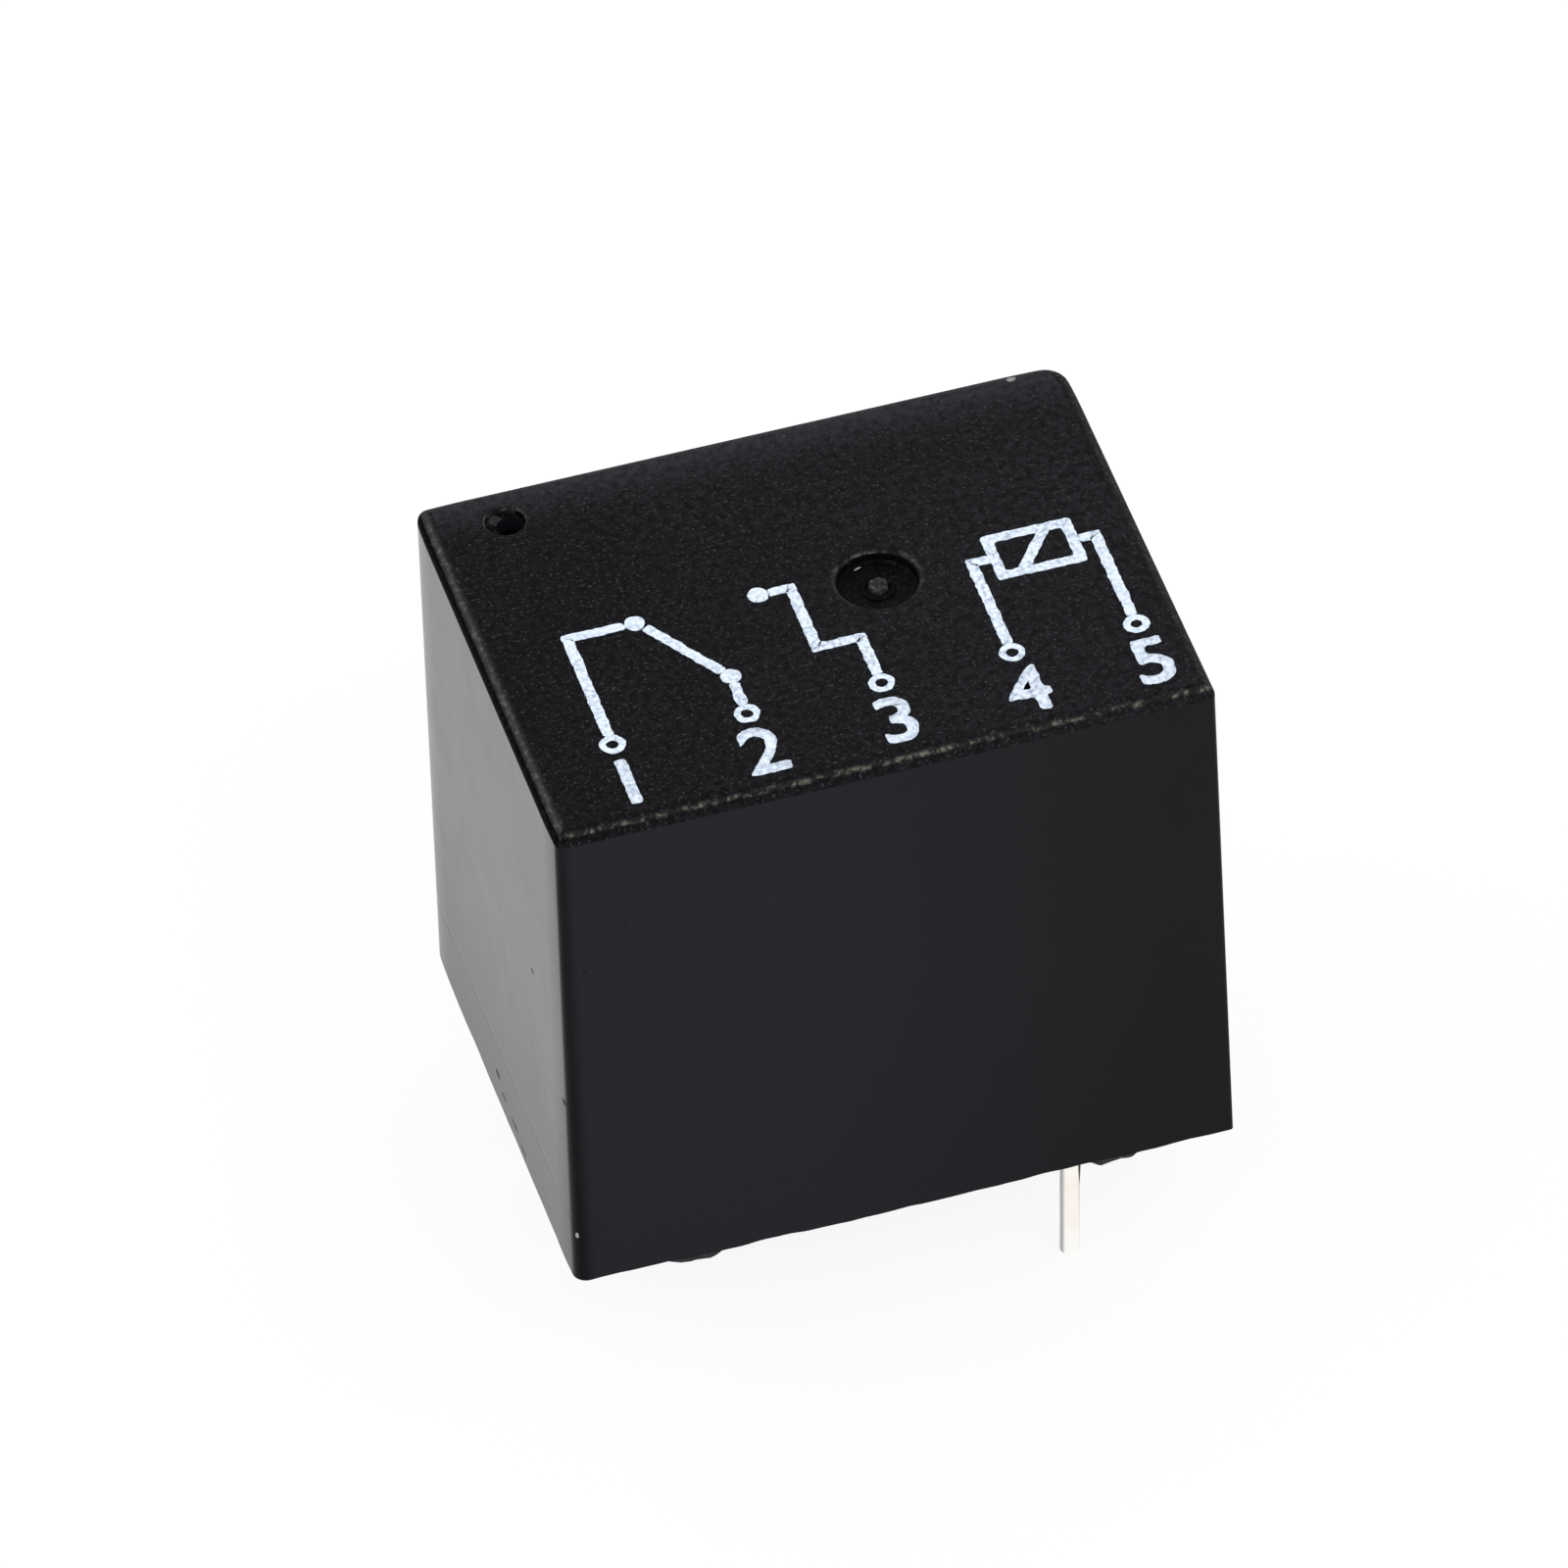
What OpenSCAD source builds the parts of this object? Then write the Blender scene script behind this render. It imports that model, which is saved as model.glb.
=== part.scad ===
// Board-mounting changeover power relay in a closed case.
// Millimetres, +Z up. The origin is the middle of the case's outline on the board's surface:
// the feet stand on z = 0 and the pins go down through the board.

/* [Case] */
// Length of the case at its open end, along X
case_l = 22; // [21:0.1:26]
// Width of the case at its open end, along Y
case_w = 16.5; // [16:0.1:20]
// Height of the case from its lower edge to its top
case_h = 19.4; // [18.5:0.1:24]
// How far each side leans in from the lower edge to the top
case_draft = 0.2; // [0.05:0.05:0.35]
// Wall round the base, at the lower edge
case_wall = 0.6; // [0.5:0.05:0.8]
// Ledge that the base seats against, inside the wall
case_ledge = 0.2; // [0.1:0.05:0.4]
// Thickness of the top
case_top_t = 0.9; // [0.7:0.05:1.4]
// Rounding of the top edge and of the upright corners
case_edge_r = 0.45; // [0.3:0.05:0.7]
// Diameter of the vent hole in the top
vent_d = 1.3; // [0.8:0.1:1.8]
// Vent hole's distance from the left end
vent_from_left = 2.74; // [2:0.01:4]
// Vent hole's distance from the back side
vent_from_back = 1.82; // [1.5:0.01:4]
// Diameter of the round gate recess in the top
recess_d = 2.7; // [2:0.1:4]
// Depth of the gate recess
recess_depth = 0.5; // [0.2:0.05:0.7]
// Gate recess from the middle, along X
recess_x = 2.15; // [-4:0.05:4]
// Gate recess from the middle, along Y
recess_y = 0.05; // [-2:0.05:2]
// Diameter of the gate stub on the recess's floor
gate_d = 0.7; // [0.4:0.1:1.2]
// Height of the gate stub
gate_h = 0.25; // [0.1:0.05:0.4]
// Wall of the pad that backs the recess under the top
recess_pad_wall = 0.55; // [0.3:0.05:1]

/* [Base] */
// Gap between the board and the case's lower edge, which the feet keep
standoff = 0.95; // [0.6:0.05:1.5]
// Width of a foot along X
foot_w = 1.85; // [1.2:0.05:2.5]
// Length of a foot along Y
foot_l = 1.6; // [1:0.1:2.5]
// How far each end of a foot slopes in from its root to its sole
foot_slope = 0.3; // [0:0.05:0.5]
// Gap between a foot and the coil pin beside it
foot_gap = 0.12; // [0.1:0.01:0.3]
// Thickness of the poured resin under the base
resin_t = 0.6; // [0.3:0.05:0.9]
// Thickness of the base plate
base_t = 1.9; // [1.4:0.1:2.6]
// Gap round the base plate inside the case
base_clear = 0.05; // [0.02:0.01:0.1]
// Height of the wall that backs the contact blades
tower_h = 5.5; // [3:0.1:7]
// Thickness of that wall
tower_t = 1; // [0.6:0.1:1.4]
// Height of the ribs that locate the yoke
rib_h = 1; // [0.6:0.1:1.1]
// Thickness of those ribs
rib_t = 0.6; // [0.4:0.1:0.9]

/* [Pins and terminals] */
// Length of every pin below the board's surface
pin_len = 4; // [3:0.1:5]
// Diameter of a coil pin
coil_pin_d = 0.65; // [0.5:0.05:0.8]
// Diameter of a coil pin's root, in the base
coil_root_d = 0.75; // [0.7:0.05:0.85]
// Diameter of a coil pin's post, which takes the winding's end
coil_post_d = 0.45; // [0.35:0.05:0.5]
// Coil pins from the right-hand end of the case
coil_pin_from_end = 5.25; // [5:0.05:5.6]
// Coil pins from the inside of the case's wall
coil_pin_inset = 0.45; // [0.42:0.01:0.6]
// Chamfer at the tip of a pin
pin_chamfer = 0.12; // [0.05:0.01:0.2]
// Thickness of the terminal sheet
blade_t = 0.5; // [0.4:0.05:0.6]
// Width of a contact pin
blade_pin_w = 1.2; // [0.8:0.1:1.5]
// Distance between the two contact pins at the left-hand end
contact_pin_gap = 4.2; // [4:0.1:4.6]
// Width of a contact blade inside the case
blade_w = 3; // [2.4:0.1:3.4]
// Gap between the two contact blades
blade_gap = 0.8; // [0.6:0.1:1.2]
// Room between the contact blades and the end of the case
blade_end_room = 0.9; // [0.6:0.05:1.2]
// Width of the common terminal's neck
neck_w = 2.4; // [1.6:0.1:3]
// Room between the rivets on the common terminal and the end of the case
rivet_end_room = 1.25; // [0.8:0.05:1.4]
// Edge of the common terminal's plate from its rivets
plate_margin = 1.5; // [1.2:0.1:1.8]
// Height of a coil pin's top above the bobbin's lower flange
coil_post_h = 1.2; // [1:0.1:1.6]
// Turns of wire on a coil pin
wrap_turns = 5; // [3:1:7]

/* [Magnet] */
// Thickness of the yoke
yoke_t = 1.2; // [1:0.05:1.4]
// Width of the yoke and of the armature
yoke_w = 8.5; // [7.6:0.1:9.5]
// Diameter of the core
core_d = 4.8; // [3.6:0.1:5.4]
// Diameter of the pole head
pole_d = 7.2; // [6:0.1:8]
// Thickness of the pole head
pole_t = 1; // [0.7:0.05:1.3]
// Diameter of the core's spigot in the yoke
spigot_d = 3.2; // [2:0.1:3.4]
// Wall of the bobbin's tube
bobbin_wall = 0.65; // [0.45:0.05:0.8]
// Thickness of the bobbin's flanges
flange_t = 0.8; // [0.6:0.05:1]
// Gap between the bobbin's flanges and the yoke
flange_clear = 0.15; // [0.05:0.05:0.4]
// Gap between the bobbin's flanges and the coil pins
flange_pin_gap = 0.575; // [0.4:0.025:0.8]
// Room between the bobbin's flanges and the wall that backs the contact blades
coil_room = 1.35; // [0.8:0.05:1.8]
// Diameter of the winding
winding_d = 10.8; // [9.5:0.1:11.2]
// Thickness of the tape
tape_t = 0.1; // [0.05:0.01:0.15]
// Diameter of the coil's lead wire
lead_d = 0.14; // [0.1:0.02:0.16]
// Thickness of the armature
armature_t = 1.2; // [1:0.05:1.4]
// Angle by which the armature stands open at rest
armature_tilt = 2.6; // [1.5:0.1:3.2]
// Radius of the armature's rocking edge
rock_r = 0.15; // [0.1:0.01:0.2]
// How far the armature reaches past the pole head
pole_overhang = 0.2; // [0:0.05:0.6]
// Air left between the closed armature and the iron
pole_clear = 0.03; // [0.02:0.005:0.06]

/* [Contacts] */
// Thickness of the leaf
leaf_t = 0.25; // [0.15:0.01:0.3]
// Width of the leaf at the hinge
leaf_w = 7; // [6:0.1:7.4]
// Width of the leaf's tip
leaf_tip_w = 2.4; // [2.3:0.1:3]
// Inner radius of the leaf's bend
leaf_bend_r = 1; // [0.8:0.05:1.05]
// Diameter of a contact's head
contact_d = 2.2; // [1.6:0.1:2.6]
// Height of a contact's head
contact_h = 0.55; // [0.4:0.05:0.7]
// Radius of the dome on a contact's head
contact_dome_r = 6; // [4:0.5:10]
// Diameter of a contact's shank
contact_shank_d = 1; // [0.7:0.1:1.2]
// Height of a contact's upset tail
contact_tail_h = 0.25; // [0.15:0.05:0.35]
// Diameter of a contact's upset tail
contact_tail_d = 1.6; // [1.3:0.1:2]
// Room between the leaf's tip and the contact blades
contact_room = 0.3; // [0.2:0.05:0.5]
// Room between the upper contact and the top of the case
top_room = 0.4; // [0.2:0.05:0.8]
// Air left between contacts that close on each other
contact_clear = 0.02; // [0.01:0.005:0.05]
// Diameter of a rivet's shank
rivet_d = 1.2; // [0.8:0.1:1.4]
// Diameter of a rivet's head
rivet_head_d = 1.9; // [1.6:0.1:2.2]
// Height of a rivet's head
rivet_head_h = 0.35; // [0.2:0.05:0.5]
// Distance between a pair of rivets, along Y
rivet_gap = 4.4; // [3.4:0.1:4.6]
// Yoke's rivets below its top edge
rivet_drop = 3.2; // [2.6:0.1:4]
// Armature's rivets from the middle of the core
rivet_from_core = 2.6; // [1:0.1:3.2]

/* [Hidden] */
$fn = 48;

// Roundings that are blended into the case's corners
corner_fn = 32;
// Height of the thin slab that sets the case's outline at its lower edge
edge_slab = 0.01;
// A cutter's reach past the face that it cuts
past = 1;
// Running gap round pins, shanks and wire
fit_clear = 0.02;
// Gap beside pieces that slide together by hand
slip_clear = 0.05;

// Heights of the case, the resin and the base
case_z = standoff;
case_top_z = case_z + case_h;
ceiling_z = case_top_z - case_top_t;
base_z = case_z + resin_t;
base_top_z = base_z + base_t;

// Half sizes of the seat for the base and of the room above it
seat_x = case_l / 2 - case_wall;
seat_y = case_w / 2 - case_wall;
room_x = seat_x - case_ledge;
room_y = seat_y - case_ledge;
base_x = seat_x - base_clear;
base_y = seat_y - base_clear;

// Right-hand stack, from the case's end inwards: rivet heads, common terminal, leaf, yoke
common_x = room_x - rivet_end_room - rivet_head_h - blade_t;
leaf_leg_x = common_x - leaf_t;
yoke_x = leaf_leg_x - yoke_t;

// Left-hand stack, from the case's end inwards: blades, the wall behind them, contacts
blade_x = -room_x + blade_end_room;
blade_inner_x = blade_x + blade_t;
tower_x = blade_inner_x + slip_clear;
contact_x = blade_inner_x + contact_room + max(contact_d, leaf_tip_w) / 2;
arm_end_x = contact_x + contact_d / 2 + slip_clear;

// Bobbin and core, in the room between the two stacks
flange_x = (yoke_x - flange_clear - tower_x - tower_t - coil_room) / 2;
core_x = yoke_x - flange_clear - flange_x;

// Rocking axis of the armature, in the plane y = 0
hinge_x = leaf_leg_x - slip_clear - rock_r;
contact_reach = hinge_x - contact_x;
dome_z = armature_t - rock_r + leaf_t + contact_h - contact_dome_r;
crest_rise = contact_reach * sin(armature_tilt) + dome_z * cos(armature_tilt) + contact_dome_r;
closed_arm_z = ceiling_z - top_room - contact_tail_h - blade_t;
hinge_z = closed_arm_z - contact_h - contact_clear - crest_rise;

// Heights of the iron circuit
yoke_top_z = hinge_z - rock_r - pole_clear;
pole_z = yoke_top_z - pole_t;
coil_z = base_top_z + yoke_t;
open_arm_z = hinge_z - rock_r + armature_t - 2 * contact_h - contact_clear - blade_t;
armature_end_x = core_x - pole_d / 2 - pole_overhang;

// Bobbin's tube and winding
tube_r = core_d / 2 + slip_clear + bobbin_wall;
winding_z = coil_z + flange_t;
winding_h = pole_z - flange_t - winding_z;
tape_r = winding_d / 2 + fit_clear + tape_t;

// Coil pins, and the flanges and feet beside them
coil_pin_x = case_l / 2 - coil_pin_from_end;
coil_pin_y = room_y - coil_pin_inset;
flange_y = coil_pin_y - coil_post_d / 2 - flange_pin_gap;
foot_x = coil_pin_x + coil_root_d / 2 + foot_gap + foot_w / 2;
coil_pin_top_z = winding_z + coil_post_h;
lead_z = winding_z + coil_post_h / 2;
wrap_mid_r = coil_post_d / 2 + fit_clear + lead_d / 2;
wrap_pitch = lead_d - fit_clear;

// Terminals
contact_pin_y = contact_pin_gap / 2;
blade_y = blade_gap / 2;
plate_w = rivet_gap + rivet_head_d;
rivet_z = yoke_top_z - rivet_drop;
leaf_leg_z = rivet_z - plate_margin;
armature_rivet_x = core_x + rivet_from_core;

// Leaf: centre of the bend, and where the taper starts, from the rocking axis
bend_x = leaf_leg_x - leaf_bend_r;
bend_up = armature_t - rock_r - leaf_bend_r;
bend_z = hinge_z + (bend_up - (bend_x - hinge_x) * sin(armature_tilt)) / cos(armature_tilt);
bend_steps = 12;
leaf_taper_x = armature_end_x - hinge_x;

black = [0.11, 0.11, 0.12];
tinned = [0.86, 0.84, 0.78];
iron = [0.62, 0.63, 0.64];
bronze = [0.72, 0.45, 0.25];
silver = [0.87, 0.87, 0.85];
copper = [0.66, 0.30, 0.14];

// Places its children at the four corners of a rectangle
module corners(x, y) {
    for (sx = [-1, 1], sy = [-1, 1]) translate([sx * x, sy * y, 0]) children();
}

// Box with its middle on the Z axis, standing on z
module block(x, y, z, h) {
    translate([-x, -y, z]) cube([2 * x, 2 * y, h]);
}

// Turns a piece drawn about the rocking axis, with the armature closed, to its place at rest
module on_armature() {
    translate([hinge_x, 0, hinge_z]) rotate([0, armature_tilt, 0]) children();
}

// Extrudes an XZ outline along Y, with its middle on y = 0
module across(w) {
    rotate([90, 0, 0]) translate([0, 0, -w / 2]) linear_extrude(w) children();
}

// Quarter-round corner of the case's top edge
module corner_cap() {
    rotate_extrude($fn = corner_fn) intersection() {
        circle(case_edge_r, $fn = corner_fn);
        square(case_edge_r);
    }
}

module case_outside() {
    x = case_l / 2 - case_edge_r;
    y = case_w / 2 - case_edge_r;
    hull() {
        translate([0, 0, case_z]) corners(x, y) cylinder(h = edge_slab, r = case_edge_r, $fn = corner_fn);
        translate([0, 0, case_top_z - case_edge_r]) corners(x - case_draft, y - case_draft) corner_cap();
    }
}

module case() {
    pad_z = ceiling_z - recess_depth;
    color(black) difference() {
        case_outside();
        block(seat_x, seat_y, case_z - past, base_top_z - case_z + past);
        difference() {
            block(room_x, room_y, base_top_z - past, ceiling_z - base_top_z + past);
            translate([recess_x, recess_y, pad_z])
                cylinder(h = recess_depth + past, d = recess_d + 2 * recess_pad_wall);
        }
        translate([-case_l / 2 + vent_from_left, case_w / 2 - vent_from_back, ceiling_z - past])
            cylinder(h = case_top_t + 2 * past, d = vent_d);
        translate([recess_x, recess_y, case_top_z - recess_depth]) difference() {
            cylinder(h = recess_depth + past, d = recess_d);
            translate([0, 0, -past]) cylinder(h = gate_h + past, d = gate_d);
        }
    }
}

// Outline of a foot in XZ, from its sole up to z
module foot_outline(top_z) {
    root = foot_w / 2;
    sole = root - foot_slope;
    polygon([[-sole, 0], [sole, 0], [root, standoff], [root, top_z], [-root, top_z], [-root, standoff]]);
}

module feet(top_z) {
    corners(foot_x, base_y - foot_l / 2) across(foot_l) foot_outline(top_z);
}

// Every pin's passage through the base or the resin
module pin_holes(clear) {
    for (side = [-1, 1]) {
        translate([coil_pin_x, side * coil_pin_y, 0])
            cylinder(h = base_top_z + past, d = coil_root_d + 2 * clear);
        translate([blade_x - clear, side * contact_pin_y - blade_pin_w / 2 - clear, 0])
            cube([blade_t + 2 * clear, blade_pin_w + 2 * clear, base_top_z + past]);
    }
    translate([common_x - clear, -blade_pin_w / 2 - clear, 0])
        cube([blade_t + 2 * clear, blade_pin_w + 2 * clear, base_top_z + past]);
}

module base() {
    rib_y = yoke_w / 2 + slip_clear;
    rib_l = yoke_x - core_x - yoke_t;
    tower_y = blade_y + blade_w;
    color(black) {
        difference() {
            block(base_x, base_y, base_z, base_t);
            pin_holes(fit_clear);
        }
        feet(base_z);
        translate([tower_x, -tower_y, base_top_z]) cube([tower_t, 2 * tower_y, tower_h]);
        for (side = [0, 1]) mirror([0, side, 0])
            translate([core_x, rib_y, base_top_z]) cube([rib_l, rib_t, rib_h]);
    }
}

module sealing_resin() {
    color([0.16, 0.15, 0.14]) difference() {
        block(seat_x, seat_y, case_z, resin_t);
        pin_holes(fit_clear);
        feet(base_z + past);
    }
}

// Round coil pin: shank below the board, thicker root in the base, thin post inside the case
module coil_pin(side) {
    shank = coil_pin_d / 2;
    root = coil_root_d / 2;
    post = coil_post_d / 2;
    color(tinned) translate([coil_pin_x, side * coil_pin_y, 0]) rotate_extrude()
        polygon([[0, -pin_len], [shank - pin_chamfer, -pin_len], [shank, pin_chamfer - pin_len], [shank, 0],
            [root, 0], [root, base_top_z], [post, base_top_z], [post, coil_pin_top_z], [0, coil_pin_top_z]]);
}

module coil_pin_front() coil_pin(-1);

module coil_pin_rear() coil_pin(1);

module bobbin() {
    color([0.82, 0.80, 0.74]) translate([core_x, 0, 0]) difference() {
        union() {
            block(flange_x, flange_y, coil_z, flange_t);
            translate([0, 0, coil_z]) cylinder(h = pole_z - coil_z, r = tube_r);
            block(flange_x, flange_y, pole_z - flange_t, flange_t);
        }
        translate([0, 0, coil_z - past])
            cylinder(h = pole_z - coil_z + 2 * past, d = core_d + 2 * slip_clear);
    }
}

// Round sleeve about the core, between the bobbin's flanges
module coil_sleeve(inner_r, outer_r) {
    translate([core_x, 0, winding_z + fit_clear]) difference() {
        cylinder(h = winding_h - 2 * fit_clear, r = outer_r);
        translate([0, 0, -past]) cylinder(h = winding_h + 2 * past, r = inner_r);
    }
}

module coil_winding() color(copper) coil_sleeve(tube_r + fit_clear, winding_d / 2);

module coil_tape() color([0.85, 0.68, 0.20]) coil_sleeve(winding_d / 2 + fit_clear, tape_r);

// Winding end: straight run from the tape to the pin, then turns pressed together round the pin
module coil_lead(side) {
    run_x = coil_pin_x - core_x;
    run = norm([run_x, coil_pin_y]);
    start = tape_r + fit_clear;
    color(copper) {
        translate([core_x, 0, lead_z]) rotate([0, 0, side * atan2(coil_pin_y, run_x)])
            translate([start, 0, 0]) rotate([0, 90, 0]) cylinder(h = run - start - wrap_mid_r, d = lead_d);
        translate([coil_pin_x, side * coil_pin_y, lead_z]) rotate_extrude()
            for (turn = [1:wrap_turns])
                translate([wrap_mid_r, (turn - (wrap_turns + 1) / 2) * wrap_pitch]) circle(d = lead_d);
    }
}

module coil_lead_front() coil_lead(-1);

module coil_lead_rear() coil_lead(1);

// Turned core: spigot in the yoke, shaft in the bobbin, pole head on top
module iron_core() {
    spigot = spigot_d / 2;
    shaft = core_d / 2;
    pole = pole_d / 2;
    face_z = pole_z + pole_t;
    color(iron) translate([core_x, 0, 0]) rotate_extrude()
        polygon([[0, base_top_z], [spigot, base_top_z], [spigot, coil_z], [shaft, coil_z], [shaft, pole_z],
            [pole, pole_z], [pole, face_z], [0, face_z]]);
}

// Bent L of the yoke in XZ, round on the outside of its bend
module yoke_outline() {
    toe_x = core_x - spigot_d / 2 - yoke_t;
    difference() {
        union() {
            translate([toe_x, base_top_z]) square([leaf_leg_x - toe_x, yoke_t]);
            translate([yoke_x, base_top_z]) square([yoke_t, yoke_top_z - base_top_z]);
        }
        translate([leaf_leg_x - yoke_t, base_top_z]) difference() {
            translate([0, -past]) square([yoke_t + past, yoke_t + past]);
            translate([0, yoke_t]) circle(yoke_t);
        }
    }
}

// A pair of rivet-sized rods along +X, with their ends at x
module rivet_pair(x, length, d) {
    for (side = [-1, 1])
        translate([x, side * rivet_gap / 2, rivet_z]) rotate([0, 90, 0]) cylinder(h = length, d = d);
}

module yoke() {
    color(iron) difference() {
        across(yoke_w) yoke_outline();
        translate([core_x, 0, base_top_z - past])
            cylinder(h = yoke_t + 2 * past, d = spigot_d + 2 * fit_clear);
        rivet_pair(yoke_x - past, yoke_t + 2 * past, rivet_d + 2 * fit_clear);
    }
}

module yoke_rivets() {
    color(tinned) {
        rivet_pair(yoke_x, yoke_t + leaf_t + blade_t, rivet_d);
        rivet_pair(common_x + blade_t, rivet_head_h, rivet_head_d);
    }
}

// The same pair through the armature, about the rocking axis
module armature_rivet_pair(z, length, d) {
    for (side = [-1, 1])
        translate([armature_rivet_x - hinge_x, side * rivet_gap / 2, z]) cylinder(h = length, d = d);
}

// Armature in XZ about the rocking axis: round rocking edge, and a chamfer inside the leaf's bend
module armature_outline() {
    left = armature_end_x - hinge_x;
    top = armature_t - rock_r;
    polygon([[left, -rock_r], [0, -rock_r], [rock_r, 0], [rock_r, max(0, top - leaf_bend_r)],
        [rock_r - leaf_bend_r, top], [left, top]]);
    circle(rock_r);
}

module armature() {
    color(iron) on_armature() difference() {
        across(yoke_w) armature_outline();
        armature_rivet_pair(-rock_r - past, armature_t + 2 * past, rivet_d + 2 * fit_clear);
    }
}

module armature_rivets() {
    leaf_top = armature_t - rock_r + leaf_t;
    color(tinned) on_armature() {
        armature_rivet_pair(-rock_r, armature_t + leaf_t, rivet_d);
        armature_rivet_pair(leaf_top, rivet_head_h, rivet_head_d);
    }
}

// Point at x, z from the rocking axis on the closed armature, in its place at rest
function at_rest(x, z) = [hinge_x + x * cos(armature_tilt) + z * sin(armature_tilt),
    hinge_z - x * sin(armature_tilt) + z * cos(armature_tilt)];

// Round stretch of the leaf's bend, from the upright leg to the flat part
function bend_arc(r) = [for (i = [0:bend_steps]) let (a = i * (90 - armature_tilt) / bend_steps)
    [bend_x + r * cos(a), bend_z + r * sin(a)]];

// Side view of the leaf in XZ: leg down the yoke, bend, and a flat part along the armature
module leaf_outline() {
    tip = -contact_reach - leaf_tip_w / 2;
    under = armature_t - rock_r;
    inner = bend_arc(leaf_bend_r);
    outer = bend_arc(leaf_bend_r + leaf_t);
    polygon(concat([[leaf_leg_x, leaf_leg_z]], inner, [at_rest(tip, under), at_rest(tip, under + leaf_t)],
        [for (i = [bend_steps:-1:0]) outer[i]], [[leaf_leg_x + leaf_t, leaf_leg_z]]));
}

// Plan of the leaf about the rocking axis: wide at the hinge, then a taper to a round tip
module leaf_plan() {
    polygon([[case_l, -leaf_w / 2], [case_l, leaf_w / 2], [leaf_taper_x, leaf_w / 2],
        [-contact_reach, leaf_tip_w / 2], [-contact_reach, -leaf_tip_w / 2], [leaf_taper_x, -leaf_w / 2]]);
    translate([-contact_reach, 0]) circle(d = leaf_tip_w);
}

module contact_spring() {
    color(bronze) difference() {
        intersection() {
            across(leaf_w + past) leaf_outline();
            on_armature() translate([0, 0, -case_h]) linear_extrude(2 * case_h) leaf_plan();
        }
        on_armature() {
            armature_rivet_pair(0, armature_t + leaf_t + past, rivet_d + 2 * fit_clear);
            translate([-contact_reach, 0, 0])
                cylinder(h = armature_t + past, d = contact_shank_d + 2 * fit_clear);
        }
        rivet_pair(leaf_leg_x - past, leaf_t + 2 * past, rivet_d + 2 * fit_clear);
    }
}

// Contact's head on z = 0, domed upwards
module contact_head() {
    intersection() {
        cylinder(h = contact_h, d = contact_d);
        translate([0, 0, contact_h - contact_dome_r]) sphere(contact_dome_r);
    }
}

// Contact riveted through sheet of thickness t: head above the sheet, upset tail below it
module riveted_contact(t) {
    contact_head();
    translate([0, 0, -t - contact_tail_h])
        cylinder(h = t + contact_tail_h + contact_h / 2, d = contact_shank_d);
    translate([0, 0, -t - contact_tail_h]) cylinder(h = contact_tail_h, d = contact_tail_d);
}

module moving_contact() {
    color(silver) on_armature() translate([-contact_reach, 0, armature_t - rock_r]) {
        translate([0, 0, leaf_t]) contact_head();
        translate([0, 0, -contact_h / 2]) cylinder(h = leaf_t + contact_h, d = contact_shank_d);
        mirror([0, 0, 1]) contact_head();
    }
}

module normally_open_contact() {
    color(silver) translate([contact_x, 0, open_arm_z + blade_t]) riveted_contact(blade_t);
}

module normally_closed_contact() {
    color(silver) translate([contact_x, 0, closed_arm_z]) mirror([0, 0, 1]) riveted_contact(blade_t);
}

// Flat pin from its chamfered tip up to z, with its middle on y
module blade_pin(x, y, top_z) {
    half = blade_pin_w / 2;
    translate([x, y, 0]) rotate([90, 0, 90]) linear_extrude(blade_t)
        polygon([[-half, top_z], [-half, pin_chamfer - pin_len], [pin_chamfer - half, -pin_len],
            [half - pin_chamfer, -pin_len], [half, pin_chamfer - pin_len], [half, top_z]]);
}

// Contact blade on the +Y side: pin, upright blade, and an arm at z that reaches over to the contact
module contact_terminal(arm_z) {
    difference() {
        union() {
            blade_pin(blade_x, contact_pin_y, base_top_z);
            translate([blade_x, blade_y, base_top_z]) cube([blade_t, blade_w, arm_z - base_top_z]);
            translate([blade_x, blade_y, arm_z]) cube([arm_end_x - blade_x, blade_w, blade_t]);
            translate([contact_x - contact_d / 2, -contact_d / 2, arm_z])
                cube([arm_end_x - contact_x + contact_d / 2, contact_d / 2 + blade_y + blade_w / 2, blade_t]);
        }
        translate([contact_x, 0, arm_z - past])
            cylinder(h = blade_t + 2 * past, d = contact_shank_d + 2 * fit_clear);
    }
}

module normally_open_terminal() color(tinned) mirror([0, 1, 0]) contact_terminal(open_arm_z);

module normally_closed_terminal() color(tinned) contact_terminal(closed_arm_z);

module common_terminal() {
    color(tinned) difference() {
        union() {
            blade_pin(common_x, 0, base_top_z);
            translate([common_x, -neck_w / 2, base_top_z]) cube([blade_t, neck_w, rivet_z - base_top_z]);
            translate([common_x, -plate_w / 2, leaf_leg_z]) cube([blade_t, plate_w, 2 * plate_margin]);
        }
        rivet_pair(common_x - past, blade_t + 2 * past, rivet_d + 2 * fit_clear);
    }
}

case();
base();
sealing_resin();
coil_pin_front();
coil_pin_rear();
bobbin();
coil_winding();
coil_tape();
coil_lead_front();
coil_lead_rear();
iron_core();
yoke();
armature();
contact_spring();
armature_rivets();
yoke_rivets();
moving_contact();
common_terminal();
normally_open_terminal();
normally_open_contact();
normally_closed_terminal();
normally_closed_contact();
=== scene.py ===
import math

import bmesh
import bpy
from mathutils import Matrix, Quaternion, Vector, noise


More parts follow.
